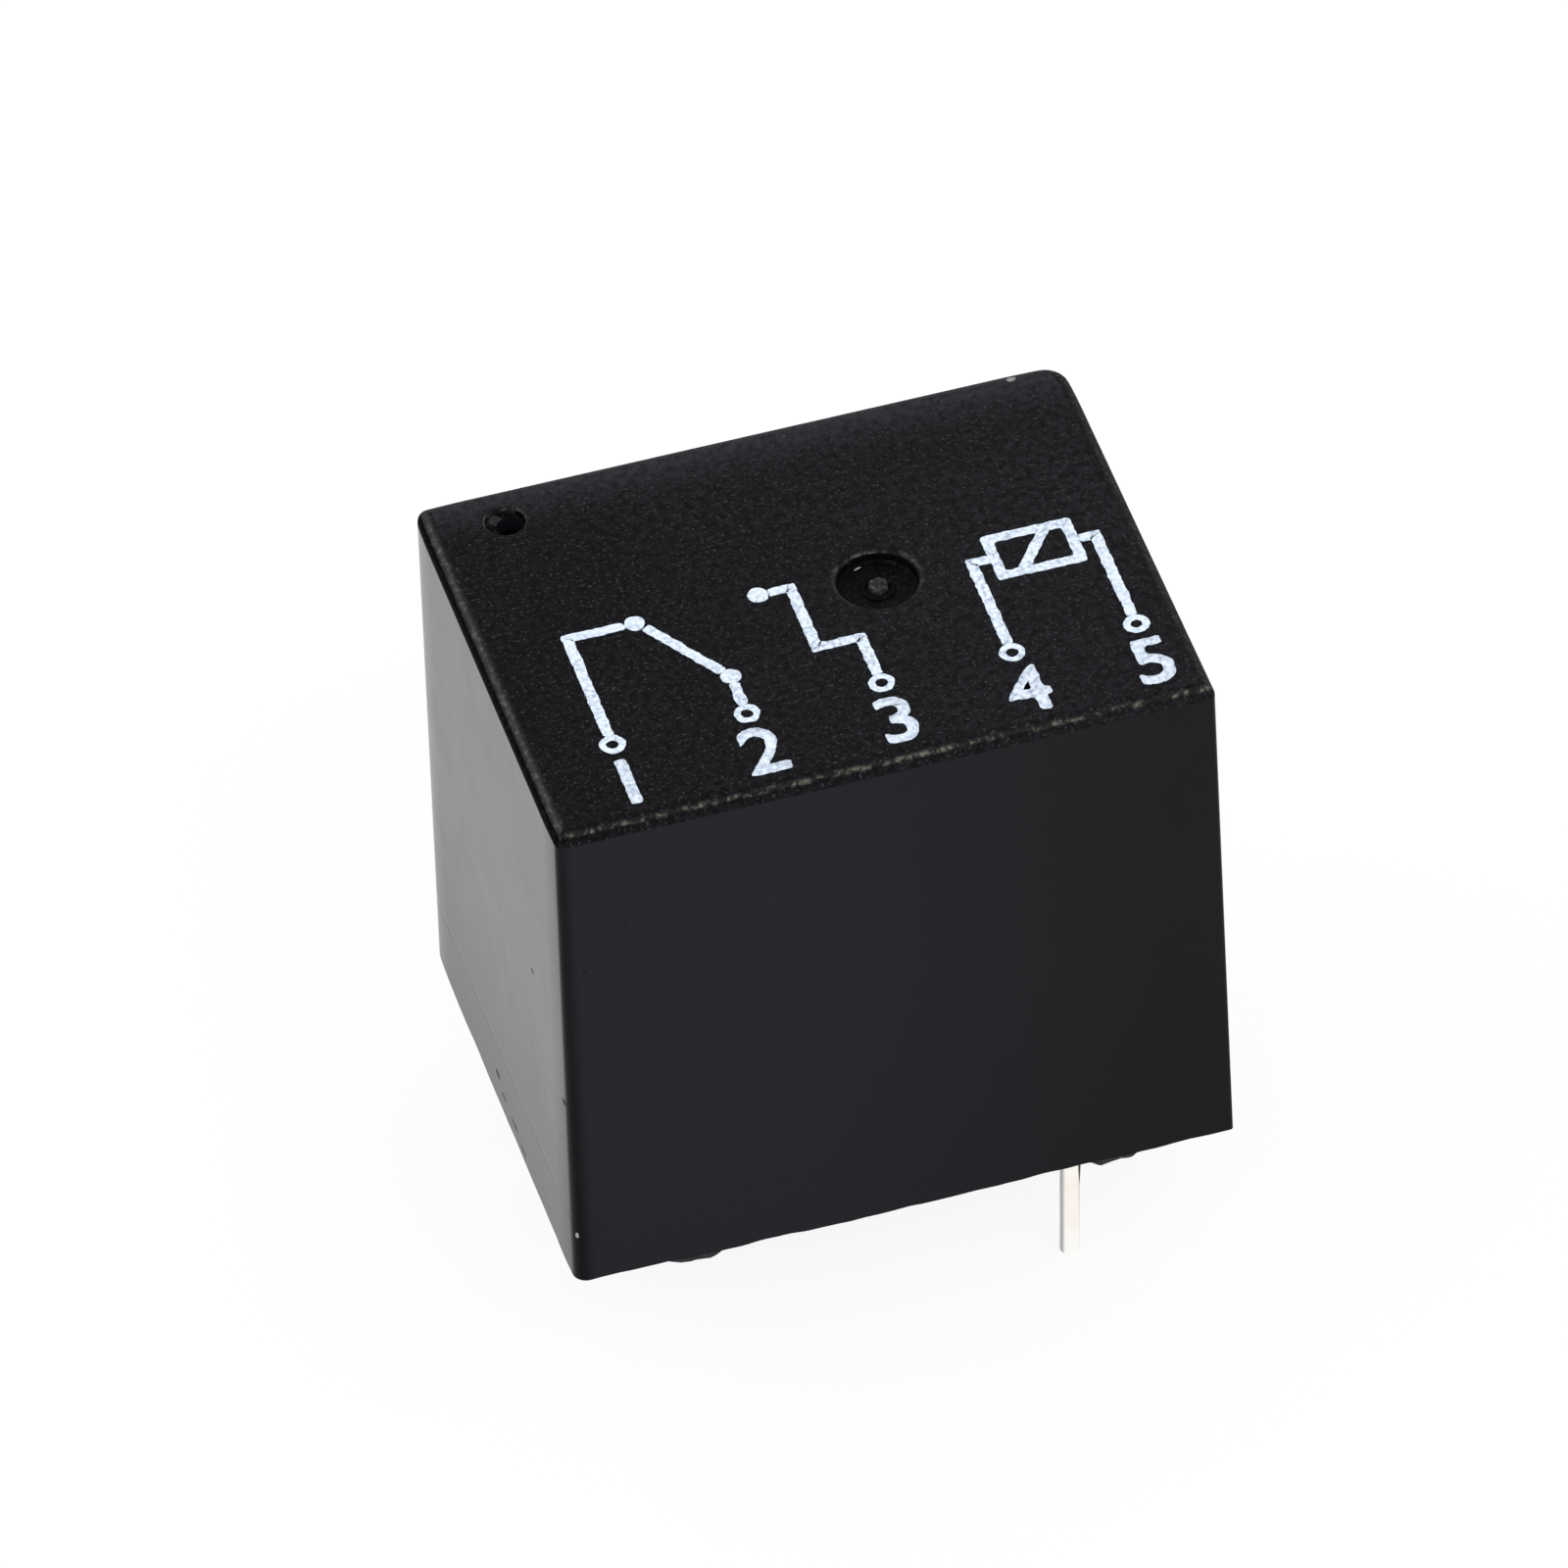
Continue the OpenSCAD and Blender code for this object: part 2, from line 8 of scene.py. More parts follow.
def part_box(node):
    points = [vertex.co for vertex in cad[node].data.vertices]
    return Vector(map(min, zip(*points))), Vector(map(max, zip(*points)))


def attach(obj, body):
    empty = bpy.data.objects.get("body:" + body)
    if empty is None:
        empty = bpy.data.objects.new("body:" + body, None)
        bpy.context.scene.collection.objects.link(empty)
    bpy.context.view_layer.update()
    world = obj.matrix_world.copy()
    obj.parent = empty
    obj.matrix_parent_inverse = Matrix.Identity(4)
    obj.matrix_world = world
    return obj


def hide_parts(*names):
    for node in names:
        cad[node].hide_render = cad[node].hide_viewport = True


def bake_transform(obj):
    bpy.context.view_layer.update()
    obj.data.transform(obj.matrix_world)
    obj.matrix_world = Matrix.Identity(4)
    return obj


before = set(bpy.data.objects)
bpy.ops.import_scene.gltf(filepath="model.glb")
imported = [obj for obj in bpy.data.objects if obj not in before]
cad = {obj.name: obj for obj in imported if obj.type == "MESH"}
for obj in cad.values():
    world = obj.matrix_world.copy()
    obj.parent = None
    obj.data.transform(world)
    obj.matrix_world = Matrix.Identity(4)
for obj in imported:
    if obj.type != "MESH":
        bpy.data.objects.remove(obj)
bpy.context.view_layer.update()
scene = bpy.context.scene
scene.view_settings.view_transform = "Standard"
mm = 0.001  # pieces are drawn in millimetres and scaled to metres once, in makePiece
hair = 1e-4  # millimetres: closer points are the same point
noise.seed_set(3)  # the print's ragged rims come out the same each run


# Nodes and materials

def addNode(tree, kind, inputs=None, **settings):
    node = tree.nodes.new(kind)
    for key, value in settings.items():
        setattr(node, key, value)
    for key, value in (inputs or {}).items():
        if isinstance(value, bpy.types.NodeSocket):
            tree.links.new(value, node.inputs[key])
        else:
            node.inputs[key].default_value = value
    return node


def addMath(tree, operation, a, b=0.0, clamp=False):
    return addNode(tree, "ShaderNodeMath", {0: a, 1: b}, operation=operation, use_clamp=clamp).outputs[0]


def addRange(tree, value, low, high, toLow=0.0, toHigh=1.0):
    inputs = {"Value": value, "From Min": low, "From Max": high, "To Min": toLow, "To Max": toHigh}
    return addNode(tree, "ShaderNodeMapRange", inputs).outputs["Result"]


def addMix(tree, factor, a, b):
    mix = addNode(tree, "ShaderNodeMix", data_type="RGBA")
    for socket, value in zip((mix.inputs[0], mix.inputs[6], mix.inputs[7]), (factor, a, b)):
        if isinstance(value, bpy.types.NodeSocket):
            tree.links.new(value, socket)
        else:
            socket.default_value = value
    return mix.outputs[2]


def startGroup(name, inputs, outputs):
    group = bpy.data.node_groups.new(name, "ShaderNodeTree")
    kind = "NodeSocketFloat"
    for key, value in inputs.items():
        group.interface.new_socket(name=key, in_out="INPUT", socket_type=kind).default_value = value
    for key in outputs:
        group.interface.new_socket(name=key, in_out="OUTPUT", socket_type=kind)
    into = group.nodes.new("NodeGroupInput")
    out = group.nodes.new("NodeGroupOutput")
    place = group.nodes.new("ShaderNodeTexCoord").outputs["Object"]
    return group, into, out, place


def startMaterial(name, **sockets):
    material = bpy.data.materials.new(name)
    material.use_nodes = True
    tree = material.node_tree
    tree.nodes.clear()
    output = tree.nodes.new("ShaderNodeOutputMaterial")
    shader = tree.nodes.new("ShaderNodeBsdfPrincipled")
    tree.links.new(shader.outputs["BSDF"], output.inputs["Surface"])
    for key, value in sockets.items():
        shader.inputs[key.replace("_", " ")].default_value = value
    return material, tree, shader


def useGroup(tree, group, **values):
    node = addNode(tree, "ShaderNodeGroup", node_tree=group)
    for key, value in values.items():
        node.inputs[key.replace("_", " ")].default_value = value
    return node.outputs


def addNoise(tree, place, scale, detail, **more):
    inputs = {"Vector": place, "Scale": scale, "Detail": detail, **more}
    return addNode(tree, "ShaderNodeTexNoise", inputs).outputs["Fac"]


def addBump(tree, shader, height, distance):
    bump = addNode(tree, "ShaderNodeBump", {"Height": height, "Distance": distance, "Strength": 1.0})
    tree.links.new(bump.outputs["Normal"], shader.inputs["Normal"])


# Spark-eroded mould texture: craters with raised lips, and the few lips that catch the light

grainLook = {
    "scale": 12000.0, "detail": 2.0, "roughness": 0.55,
    "craters": 0.62, "lips": 0.6, "glints": 0.8, "rubs": 0.34,  # shares of the scale, and the lips' height
    "sparks": (0.6, 0.74), "broadScale": 260.0, "patches": (0.3, 0.7),
}


def makeErodedGrain():
    look = grainLook
    outputs = ("Height", "Sparks", "Rubs", "Patches")
    group, into, out, place = startGroup("erodedGrain", {"Scale": look["scale"]}, outputs)
    scale = into.outputs["Scale"]
    coarser = {key: addMath(group, "MULTIPLY", scale, look[key]) for key in ("craters", "glints", "rubs")}
    fine = addNoise(group, place, scale, look["detail"], Roughness=look["roughness"])
    cells = addNode(group, "ShaderNodeTexVoronoi", {"Vector": place, "Scale": coarser["craters"]})
    lips = addMath(group, "MULTIPLY", cells.outputs["Distance"], look["lips"])
    glints = addNoise(group, place, coarser["glints"], 1.0)
    broad = addNoise(group, place, look["broadScale"], 3.0)
    group.links.new(addMath(group, "ADD", lips, fine), out.inputs["Height"])
    group.links.new(addRange(group, glints, *look["sparks"]), out.inputs["Sparks"])
    group.links.new(addNoise(group, place, coarser["rubs"], look["detail"]), out.inputs["Rubs"])
    group.links.new(addRange(group, broad, *look["patches"]), out.inputs["Patches"])
    return group


# Handled plastic: slow waves of the moulded wall, smears, and stray dust

handlingLook = {
    "waveScale": 150.0, "smearScale": 420.0, "smearDetail": 5.0, "smearRoughness": 0.6, "smearBend": 0.8,
    "smears": (0.35, 0.72), "dustCells": 700.0, "speck": (0.07, 0.03), "chosen": (0.8, 0.82),
}


def makeHandling():
    look = handlingLook
    outputs = ("Waves", "Smears", "Dust")
    group, into, out, place = startGroup("handling", {"Dust cells": look["dustCells"]}, outputs)
    smears = addNoise(group, place, look["smearScale"], look["smearDetail"],
                      Roughness=look["smearRoughness"], Distortion=look["smearBend"])
    dust = addNode(group, "ShaderNodeTexVoronoi", {"Vector": place, "Scale": into.outputs["Dust cells"]})
    lucky = addNode(group, "ShaderNodeSeparateColor", {"Color": dust.outputs["Color"]})
    speck = addRange(group, dust.outputs["Distance"], *look["speck"])
    chosen = addRange(group, lucky.outputs[0], *look["chosen"])
    group.links.new(addNoise(group, place, look["waveScale"], 1.0), out.inputs["Waves"])
    group.links.new(addRange(group, smears, *look["smears"]), out.inputs["Smears"])
    group.links.new(addMath(group, "MULTIPLY", speck, chosen), out.inputs["Dust"])
    return group


# Rolled or drawn metal: fine lines along one axis, and dull blotches

rolledLook = {"lineScale": 16000.0, "lineDetail": 3.0, "blotchScale": 900.0, "blotchDetail": 4.0,
              "blotches": (0.35, 0.7)}


def makeRolledMetal():
    look = rolledLook
    inputs = {"Along " + axis: 1.0 for axis in "XYZ"}
    group, into, out, place = startGroup("rolledMetal", inputs, ("Lines", "Blotches"))
    ways = {axis: into.outputs["Along " + axis] for axis in "XYZ"}
    stretch = addNode(group, "ShaderNodeCombineXYZ", ways).outputs["Vector"]
    lined = addNode(group, "ShaderNodeVectorMath", {0: place, 1: stretch}, operation="MULTIPLY")
    lines = addNoise(group, lined.outputs["Vector"], look["lineScale"], look["lineDetail"])
    blotches = addNoise(group, place, look["blotchScale"], look["blotchDetail"])
    group.links.new(lines, out.inputs["Lines"])
    group.links.new(addRange(group, blotches, *look["blotches"]), out.inputs["Blotches"])
    return group


erodedGrain = makeErodedGrain()
handling = makeHandling()
rolledMetal = makeRolledMetal()


def addRamp(tree, value, stops):
    node = addNode(tree, "ShaderNodeValToRGB", {"Fac": value})
    elements = node.color_ramp.elements
    while len(elements) < len(stops):
        elements.new(0.5)
    for element, (share, colour) in zip(elements, stops):
        element.position, element.color = share, solid(colour)
    return node.outputs["Color"]


def addPlace(tree, axis):
    place = addNode(tree, "ShaderNodeTexCoord").outputs["Object"]
    return addNode(tree, "ShaderNodeSeparateXYZ", {"Vector": place}).outputs[axis]


def solid(colour):
    return (*colour, 1)


def inMetres(places):
    return [place * mm for place in places]


# The tone runs along X, a thin skin gains gloss with height, and fine scuffs cross the waves of the wall.
# A shaded corner is darker between its places on X and Y. Places are in millimetres.

glossLook = {"patchy": (1.12, 0.76), "pitTone": (0.001, 0.001, 0.001),
             "scuffWays": {"Along_Y": 0.05, "Along_Z": 0.4}, "scuffs": (0.56, 0.74)}


def makeGlossBlack(name, tones, pits, roughness, waviness, ior, skin, shade=None):
    material, tree, shader = startMaterial(name, IOR=ior, Specular_Tint=solid(skin["tint"]),
                                           Coat_IOR=skin["ior"], Coat_Roughness=skin["roughness"])
    marks = useGroup(tree, handling)
    gloss = addRange(tree, addPlace(tree, "Z"), *inMetres(skin["heights"]), *skin["weights"])
    patchy = addRange(tree, marks["Smears"], 0, 1, *glossLook["patchy"])
    tree.links.new(addMath(tree, "MULTIPLY", gloss, patchy), shader.inputs["Coat Weight"])
    first, last = tones[0][0], tones[-1][0]
    stops = [((x - first) / (last - first), colour) for x, colour in tones]
    base = addRamp(tree, addRange(tree, addPlace(tree, "X"), first * mm, last * mm), stops)
    if shade:
        near = [addRange(tree, addPlace(tree, axis), *inMetres(shade[axis])) for axis in "XY"]
        base = addMix(tree, addMath(tree, "MULTIPLY", *near), base, solid(shade["colour"]))
    pitted = addMath(tree, "MULTIPLY", marks["Dust"], pits)
    tree.links.new(addMix(tree, pitted, base, solid(glossLook["pitTone"])), shader.inputs["Base Color"])
    tree.links.new(addRange(tree, marks["Smears"], 0, 1, *roughness), shader.inputs["Roughness"])
    lines = useGroup(tree, rolledMetal, **glossLook["scuffWays"])["Lines"]
    lines = addMath(tree, "MULTIPLY", addRange(tree, lines, *glossLook["scuffs"]), marks["Smears"])
    scuffs = addMath(tree, "MULTIPLY", lines, skin["scuffs"])
    addBump(tree, shader, addMath(tree, "ADD", marks["Waves"], scuffs), waviness)
    return material


# Painted highlight along the crest of a rounded edge: 0, 1 and 0 at three heights, on a line that wanders
def addCrest(tree, heights, wander, rubs):
    low, peak, high = inMetres(heights)
    z = addMath(tree, "ADD", addPlace(tree, "Z"), addRange(tree, rubs, 0, 1, -wander * mm, wander * mm))
    return addMath(tree, "MULTIPLY", addRange(tree, z, low, peak), addRange(tree, z, high, peak))


# Mottled between two tones; an overlay gives a face a second pair of tones across X, a painted sheen that
# pales it towards its rear, and dust specks

mottleLook = {
    "patches": (0.75, 1.25), "mottle": (0.38, 0.68), "roughness": (0.62, 0.34),
    "sheenRubs": (0.3, 0.7), "sheenPatches": (0.45, 1.45), "sheenCurve": 2.0, "dustTone": (0.3, 0.3, 0.3),
    "fadeFrom": (-10, 10), "crestGlintRubs": (0.46, 0.62), "crestGlintTops": (0.6, 1.0),
}


def makeGrainBlack(name, tones, lip, scale, depth, ior, crest=None, overlay=None):
    look = mottleLook
    material, tree, shader = startMaterial(name, IOR=ior)
    grain = useGroup(tree, erodedGrain, Scale=scale)
    broad = addRange(tree, grain["Patches"], 0, 1, *look["patches"])
    mottle = addMath(tree, "MULTIPLY", addRange(tree, grain["Rubs"], *look["mottle"]), broad)
    base = addMix(tree, mottle, *map(solid, tones))
    if overlay:
        across = addRange(tree, addPlace(tree, "X"), *inMetres(overlay["across"]))
        base = addMix(tree, across, base, addMix(tree, mottle, *map(solid, overlay["tones"])))
        # Painted sheen: the face pales towards its rear, in patches
        along = addRange(tree, addPlace(tree, "Y"), *inMetres(overlay["along"]))
        patchy = addRange(tree, grain["Rubs"], *look["sheenRubs"], *look["sheenPatches"])
        pale = addMath(tree, "POWER", along, look["sheenCurve"])
        base = addMix(tree, addMath(tree, "MULTIPLY", pale, patchy, clamp=True), base, solid(overlay["rear"]))
        specks = addMath(tree, "MULTIPLY", useGroup(tree, handling)["Dust"], overlay["dust"])
        base = addMix(tree, specks, base, solid(look["dustTone"]))
    # Painted highlights: the sparks take the lip colour
    base = addMix(tree, grain["Sparks"], base, solid(lip))
    # Painted highlight: soft and bright colours along the crest of the rounded edge, fading along X, with
    # glints in the bright band
    if crest:
        crestHighlight = addCrest(tree, crest["heights"], crest["wander"], grain["Rubs"])
        fade = addRange(tree, addPlace(tree, "X"), *inMetres(look["fadeFrom"]), *crest["fade"])
        crestHighlight = addMath(tree, "MULTIPLY", crestHighlight, fade)
        base = addMix(tree, crestHighlight, base, solid(crest["soft"]))
        crestGlints = addMath(tree, "MULTIPLY", addRange(tree, grain["Rubs"], *look["crestGlintRubs"]),
                         addRange(tree, grain["Height"], *look["crestGlintTops"]))
        base = addMix(tree, addMath(tree, "MULTIPLY", crestHighlight, crestGlints), base, solid(crest["bright"]))
    tree.links.new(base, shader.inputs["Base Color"])
    tree.links.new(addRange(tree, grain["Sparks"], 0, 1, *look["roughness"]), shader.inputs["Roughness"])
    addBump(tree, shader, grain["Height"], depth)
    return material


# Drawn or rolled metal, duller in blotches; a flank is a strip of reflected dark along a leaning wire

metalLook = {"lines": (0.3, 0.7), "lineDepth": 0.000003}


def makeMetal(name, bright, dull, along, roughness, flank=None):
    material, tree, shader = startMaterial(name, Metallic=1.0)
    metal = useGroup(tree, rolledMetal, Along_X=along[0], Along_Y=along[1], Along_Z=along[2])
    base = addMix(tree, metal["Blotches"], solid(bright), solid(dull))
    if flank:
        upright = addMath(tree, "MULTIPLY", addPlace(tree, "Z"), flank["lean"])
        beside = addMath(tree, "SUBTRACT", addPlace(tree, "X"), upright)
        share = addRange(tree, beside, *inMetres(flank["across"]))
        base = addMix(tree, share, base, solid(flank["colour"]))
    tree.links.new(base, shader.inputs["Base Color"])
    dull = addRange(tree, metal["Lines"], *metalLook["lines"], *roughness)
    tree.links.new(dull, shader.inputs["Roughness"])
    addBump(tree, shader, metal["Lines"], metalLook["lineDepth"])
    return material


# Pad ink, broken where the grain under it stands up

inkLook = {"ior": 1.4, "grain": 9000.0, "broken": (0.7, 1.1), "patches": (0.1, 0.9), "wear": (0.5, 1.0),
           "roughness": (0.7, 0.5), "depth": 0.00001}


def makeInk(name, colour, gap):
    look = inkLook
    material, tree, shader = startMaterial(name, IOR=look["ior"])
    grain = useGroup(tree, erodedGrain, Scale=look["grain"])
    broken = addRange(tree, grain["Height"], *look["broken"])
    wear = addRange(tree, grain["Patches"], *look["patches"], *look["wear"])
    overlay = addMath(tree, "MULTIPLY", broken, wear, clamp=True)
    tree.links.new(addMix(tree, overlay, solid(colour), solid(gap)), shader.inputs["Base Color"])
    tree.links.new(addRange(tree, grain["Sparks"], 0, 1, *look["roughness"]), shader.inputs["Roughness"])
    addBump(tree, shader, grain["Height"], look["depth"])
    return material


mouldedLook = {"ior": 1.5, "waves": (0.3, 0.7), "depth": 0.000004}


def makeMoulded(name, light, dark, roughness):
    look = mouldedLook
    material, tree, shader = startMaterial(name, IOR=look["ior"])
    marks = useGroup(tree, handling)
    tree.links.new(addMix(tree, marks["Smears"], solid(light), solid(dark)), shader.inputs["Base Color"])
    tree.links.new(addRange(tree, marks["Waves"], *look["waves"], *roughness), shader.inputs["Roughness"])
    addBump(tree, shader, marks["Smears"], look["depth"])
    return material


# Layers of enamelled wire, seen as close turns round the core

wireLook = {"enamel": 0.4, "enamelRoughness": 0.15, "roughness": (0.5, 0.28), "depthShare": 1 / 3,
            "uneven": {"Distortion": 0.6, "Detail": 1.0, "Detail Scale": 0.4}}
waveTurn = math.tau / 20  # a wave texture repeats once in this length at a scale of 1


def makeWire(name, bright, dark, pitch):
    look = wireLook
    material, tree, shader = startMaterial(name, Metallic=1.0, Coat_Weight=look["enamel"],
                                           Coat_Roughness=look["enamelRoughness"])
    place = addNode(tree, "ShaderNodeTexCoord").outputs["Object"]
    inputs = {"Vector": place, "Scale": waveTurn / (pitch * mm), **look["uneven"]}
    turns = addNode(tree, "ShaderNodeTexWave", inputs, bands_direction="Z").outputs["Fac"]
    tree.links.new(addMix(tree, turns, solid(dark), solid(bright)), shader.inputs["Base Color"])
    tree.links.new(addRange(tree, turns, 0, 1, *look["roughness"]), shader.inputs["Roughness"])
    addBump(tree, shader, turns, pitch * mm * look["depthShare"])
    return material


# caseGloss: its tone darkens from -3 to 9 mm on X as painted shade, its shaded corner is painted shade on
# the front-left upright edge, and its coat weight falls from 10 mm down to 1 mm as painted shade on the
# lower walls
caseGloss = makeGlossBlack(
    "caseGloss", tones=((-3, (0.0107, 0.01, 0.0136)), (9, (0.0063, 0.0063, 0.0076))),
    pits=0.6, roughness=(0.05, 0.12), waviness=0.000012, ior=1.15,
    skin={"heights": (1, 10), "weights": (0.0, 0.42), "ior": 1.1, "roughness": 0.06,
          "tint": (0.97, 0.96, 1.0), "scuffs": 0.12},
    shade={"X": (-10.3, -10.75), "Y": (-7.6, -7.9), "colour": (0.001, 0.001, 0.0015)})
resinBlack = makeGlossBlack(
    "resinBlack", tones=((-10, (0.006, 0.0055, 0.005)), (10, (0.007, 0.0065, 0.006))),
    pits=0.6, roughness=(0.08, 0.25), waviness=0.00003, ior=1.4,
    skin={"heights": (1, 1.5), "weights": (0.1, 0.3), "ior": 1.4, "roughness": 0.1,
          "tint": (1.0, 1.0, 1.0), "scuffs": 0.0})
# caseGrain: the top and its front and rear rounded edges; a painted highlight runs along their crest, a
# painted sheen pales the top towards its rear, and its tones lighten towards +X
caseGrain = makeGrainBlack(
    "caseGrain", tones=((0.0001, 0.0001, 0.0004), (0.0044, 0.0044, 0.0062)), lip=(0.03, 0.03, 0.032),
    scale=11000.0, depth=0.00002, ior=1.165,
    crest={"heights": (20.12, 20.21, 20.295), "wander": 0.03, "fade": (1.0, 1.0),
           "soft": (0.011, 0.011, 0.01), "bright": (0.16, 0.152, 0.128)},
    overlay={"across": (-11, 13), "tones": ((0.0028, 0.0028, 0.0042), (0.0118, 0.0116, 0.0146)),
          "along": (5.4, 7.8), "rear": (0.024, 0.0236, 0.029), "dust": 0.16})
# caseSideGrain: the left and right rounded edges, with a painted highlight along their crest that fades
# towards +X
caseSideGrain = makeGrainBlack(
    "caseSideGrain", tones=((0.0022, 0.0022, 0.0026), (0.005, 0.005, 0.006)), lip=(0.03, 0.03, 0.032),
    scale=11000.0, depth=0.00002, ior=1.165,
    crest={"heights": (20.195, 20.3, 20.35), "wander": 0.008, "fade": (1.0, 0.2),
           "soft": (0.036, 0.036, 0.036), "bright": (0.1, 0.098, 0.09)})
# caseShoulderShade: nearly black with a low IOR, painted shade on the left rounded top edge below its
# crest
caseShoulderShade = makeGrainBlack(
    "caseShoulderShade", tones=((0.0007, 0.0007, 0.0008), (0.0017, 0.0017, 0.002)), lip=(0.012, 0.012, 0.012),
    scale=11000.0, depth=0.00001, ior=1.06)
# recessShadeBlack: darker and duller than the top grain, painted shade in the gate recess and on the
# vent's ledge
recessShadeBlack = makeGrainBlack(
    "recessShadeBlack", tones=((0.0005, 0.0005, 0.0006), (0.0026, 0.0026, 0.003)), lip=(0.01, 0.01, 0.01),
    scale=9000.0, depth=0.000006, ior=1.14)
gateStub = makeGrainBlack(
    "gateStub", tones=((0.004, 0.004, 0.004), (0.045, 0.045, 0.046)), lip=(0.12, 0.12, 0.12),
    scale=7000.0, depth=0.00003, ior=1.3)
baseBlack = makeGrainBlack(
    "baseBlack", tones=((0.012, 0.0118, 0.012), (0.028, 0.0275, 0.028)), lip=(0.055, 0.055, 0.055),
    scale=7000.0, depth=0.00003, ior=1.3)
# paleNickAndHighlight: pale marks, one of them a painted highlight in the gate recess
paleNickAndHighlight = makeGrainBlack(
    "paleNickAndHighlight", tones=((0.22, 0.22, 0.22), (0.4, 0.4, 0.39)), lip=(0.5, 0.5, 0.5),
    scale=9000.0, depth=0.00001, ior=1.3)
tinnedPin = makeMetal("tinnedPin", (0.82, 0.805, 0.76), (0.7, 0.64, 0.57), (1, 1, 0.04), (0.14, 0.3))
# litTinnedWire: a lit copy of the tinned finish, brighter than tinnedPin, with a painted reflection as a
# grey strip along its left flank
litTinnedWire = makeMetal("litTinnedWire", (1.0, 0.985, 0.94), (0.98, 0.87, 0.78), (1, 1, 0.04), (0.08, 0.2),
                       {"across": (5.625, 5.55), "lean": 0.025, "colour": (0.3, 0.31, 0.31)})
bobbinNatural = makeMoulded("bobbinNatural", (0.72, 0.69, 0.6), (0.64, 0.6, 0.5), (0.35, 0.5))
windingWire = makeWire("windingWire", (0.72, 0.3, 0.12), (0.25, 0.08, 0.03), 0.1)
tapeFilm = makeMoulded("tapeFilm", (0.75, 0.5, 0.1), (0.66, 0.42, 0.08), (0.2, 0.32))
platedIron = makeMetal("platedIron", (0.62, 0.62, 0.61), (0.48, 0.48, 0.47), (0.05, 1, 1), (0.28, 0.46))
springBronze = makeMetal("springBronze", (0.74, 0.45, 0.24), (0.62, 0.36, 0.2), (0.04, 1, 1), (0.22, 0.38))
rivetMetal = makeMetal("rivetMetal", (0.74, 0.7, 0.6), (0.6, 0.55, 0.46), (1, 1, 1), (0.28, 0.44))
contactSilver = makeMetal("contactSilver", (0.88, 0.87, 0.85), (0.7, 0.69, 0.67), (1, 1, 1), (0.2, 0.36))
padInk = makeInk("padInk", (0.72, 0.81, 0.93), (0.3, 0.37, 0.47))
print("materials made:", len(bpy.data.materials))


# Mesh helpers

def softShade(bm, limit=35):
    for face in bm.faces:
        face.smooth = True
    for edge in bm.edges:
        edge.smooth = len(edge.link_faces) == 2 and edge.calc_face_angle() < math.radians(limit)


def makePiece(bm, name, materials, stands=()):
    bmesh.ops.scale(bm, vec=(mm, mm, mm), verts=bm.verts)
    mesh = bpy.data.meshes.new(name)
    bm.to_mesh(mesh)
    bm.free()
    for material in materials:
        mesh.materials.append(material)
    piece = bpy.data.objects.new(name, mesh)
    scene.collection.objects.link(piece)
    if stands:
        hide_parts(*stands)
    return piece


def makeBlock(bm, low, high):
    verts = bmesh.ops.create_cube(bm, size=1)["verts"]
    low, high = Vector(low), Vector(high)
    bmesh.ops.scale(bm, vec=high - low, verts=verts)
    bmesh.ops.translate(bm, vec=(low + high) / 2, verts=verts)
    return verts


def roundEdges(bm, edges, offset, segments=3):
    bmesh.ops.bevel(bm, geom=edges, offset=offset, segments=segments, profile=0.5, affect="EDGES",
                    material=-1)


def edgesOf(verts):
    return list(dict.fromkeys(edge for v in verts for edge in v.link_edges))


def facesOf(verts):
    return list(dict.fromkeys(face for v in verts for face in v.link_faces))


def cadBox(node):
    return [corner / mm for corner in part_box(node)]


def isLevel(edge, z):
    return all(abs(v.co.z - z) < hair for v in edge.verts)


def boundaryAt(bm, z):
    return [edge for edge in bm.edges if edge.is_boundary and isLevel(edge, z)]


def spinAbout(bm, points, x, y, steps=72):
    verts = [bm.verts.new((x + radius, y, z)) for radius, z in points]
    edges = [bm.edges.new(pair) for pair in zip(verts, verts[1:])]
    bmesh.ops.spin(bm, geom=verts + edges, cent=(x, y, 0), axis=(0, 0, 1), angle=math.tau, steps=steps,
                   use_merge=True)


def arcPoints(middleR, middleZ, radius, start, end, steps=5):
    turns = [math.radians(start + (end - start) * i / steps) for i in range(steps + 1)]
    return [(middleR + radius * math.cos(turn), middleZ + radius * math.sin(turn)) for turn in turns]


# Case: drafted shell, open below, with a vent hole and the mould's gate recess in its top

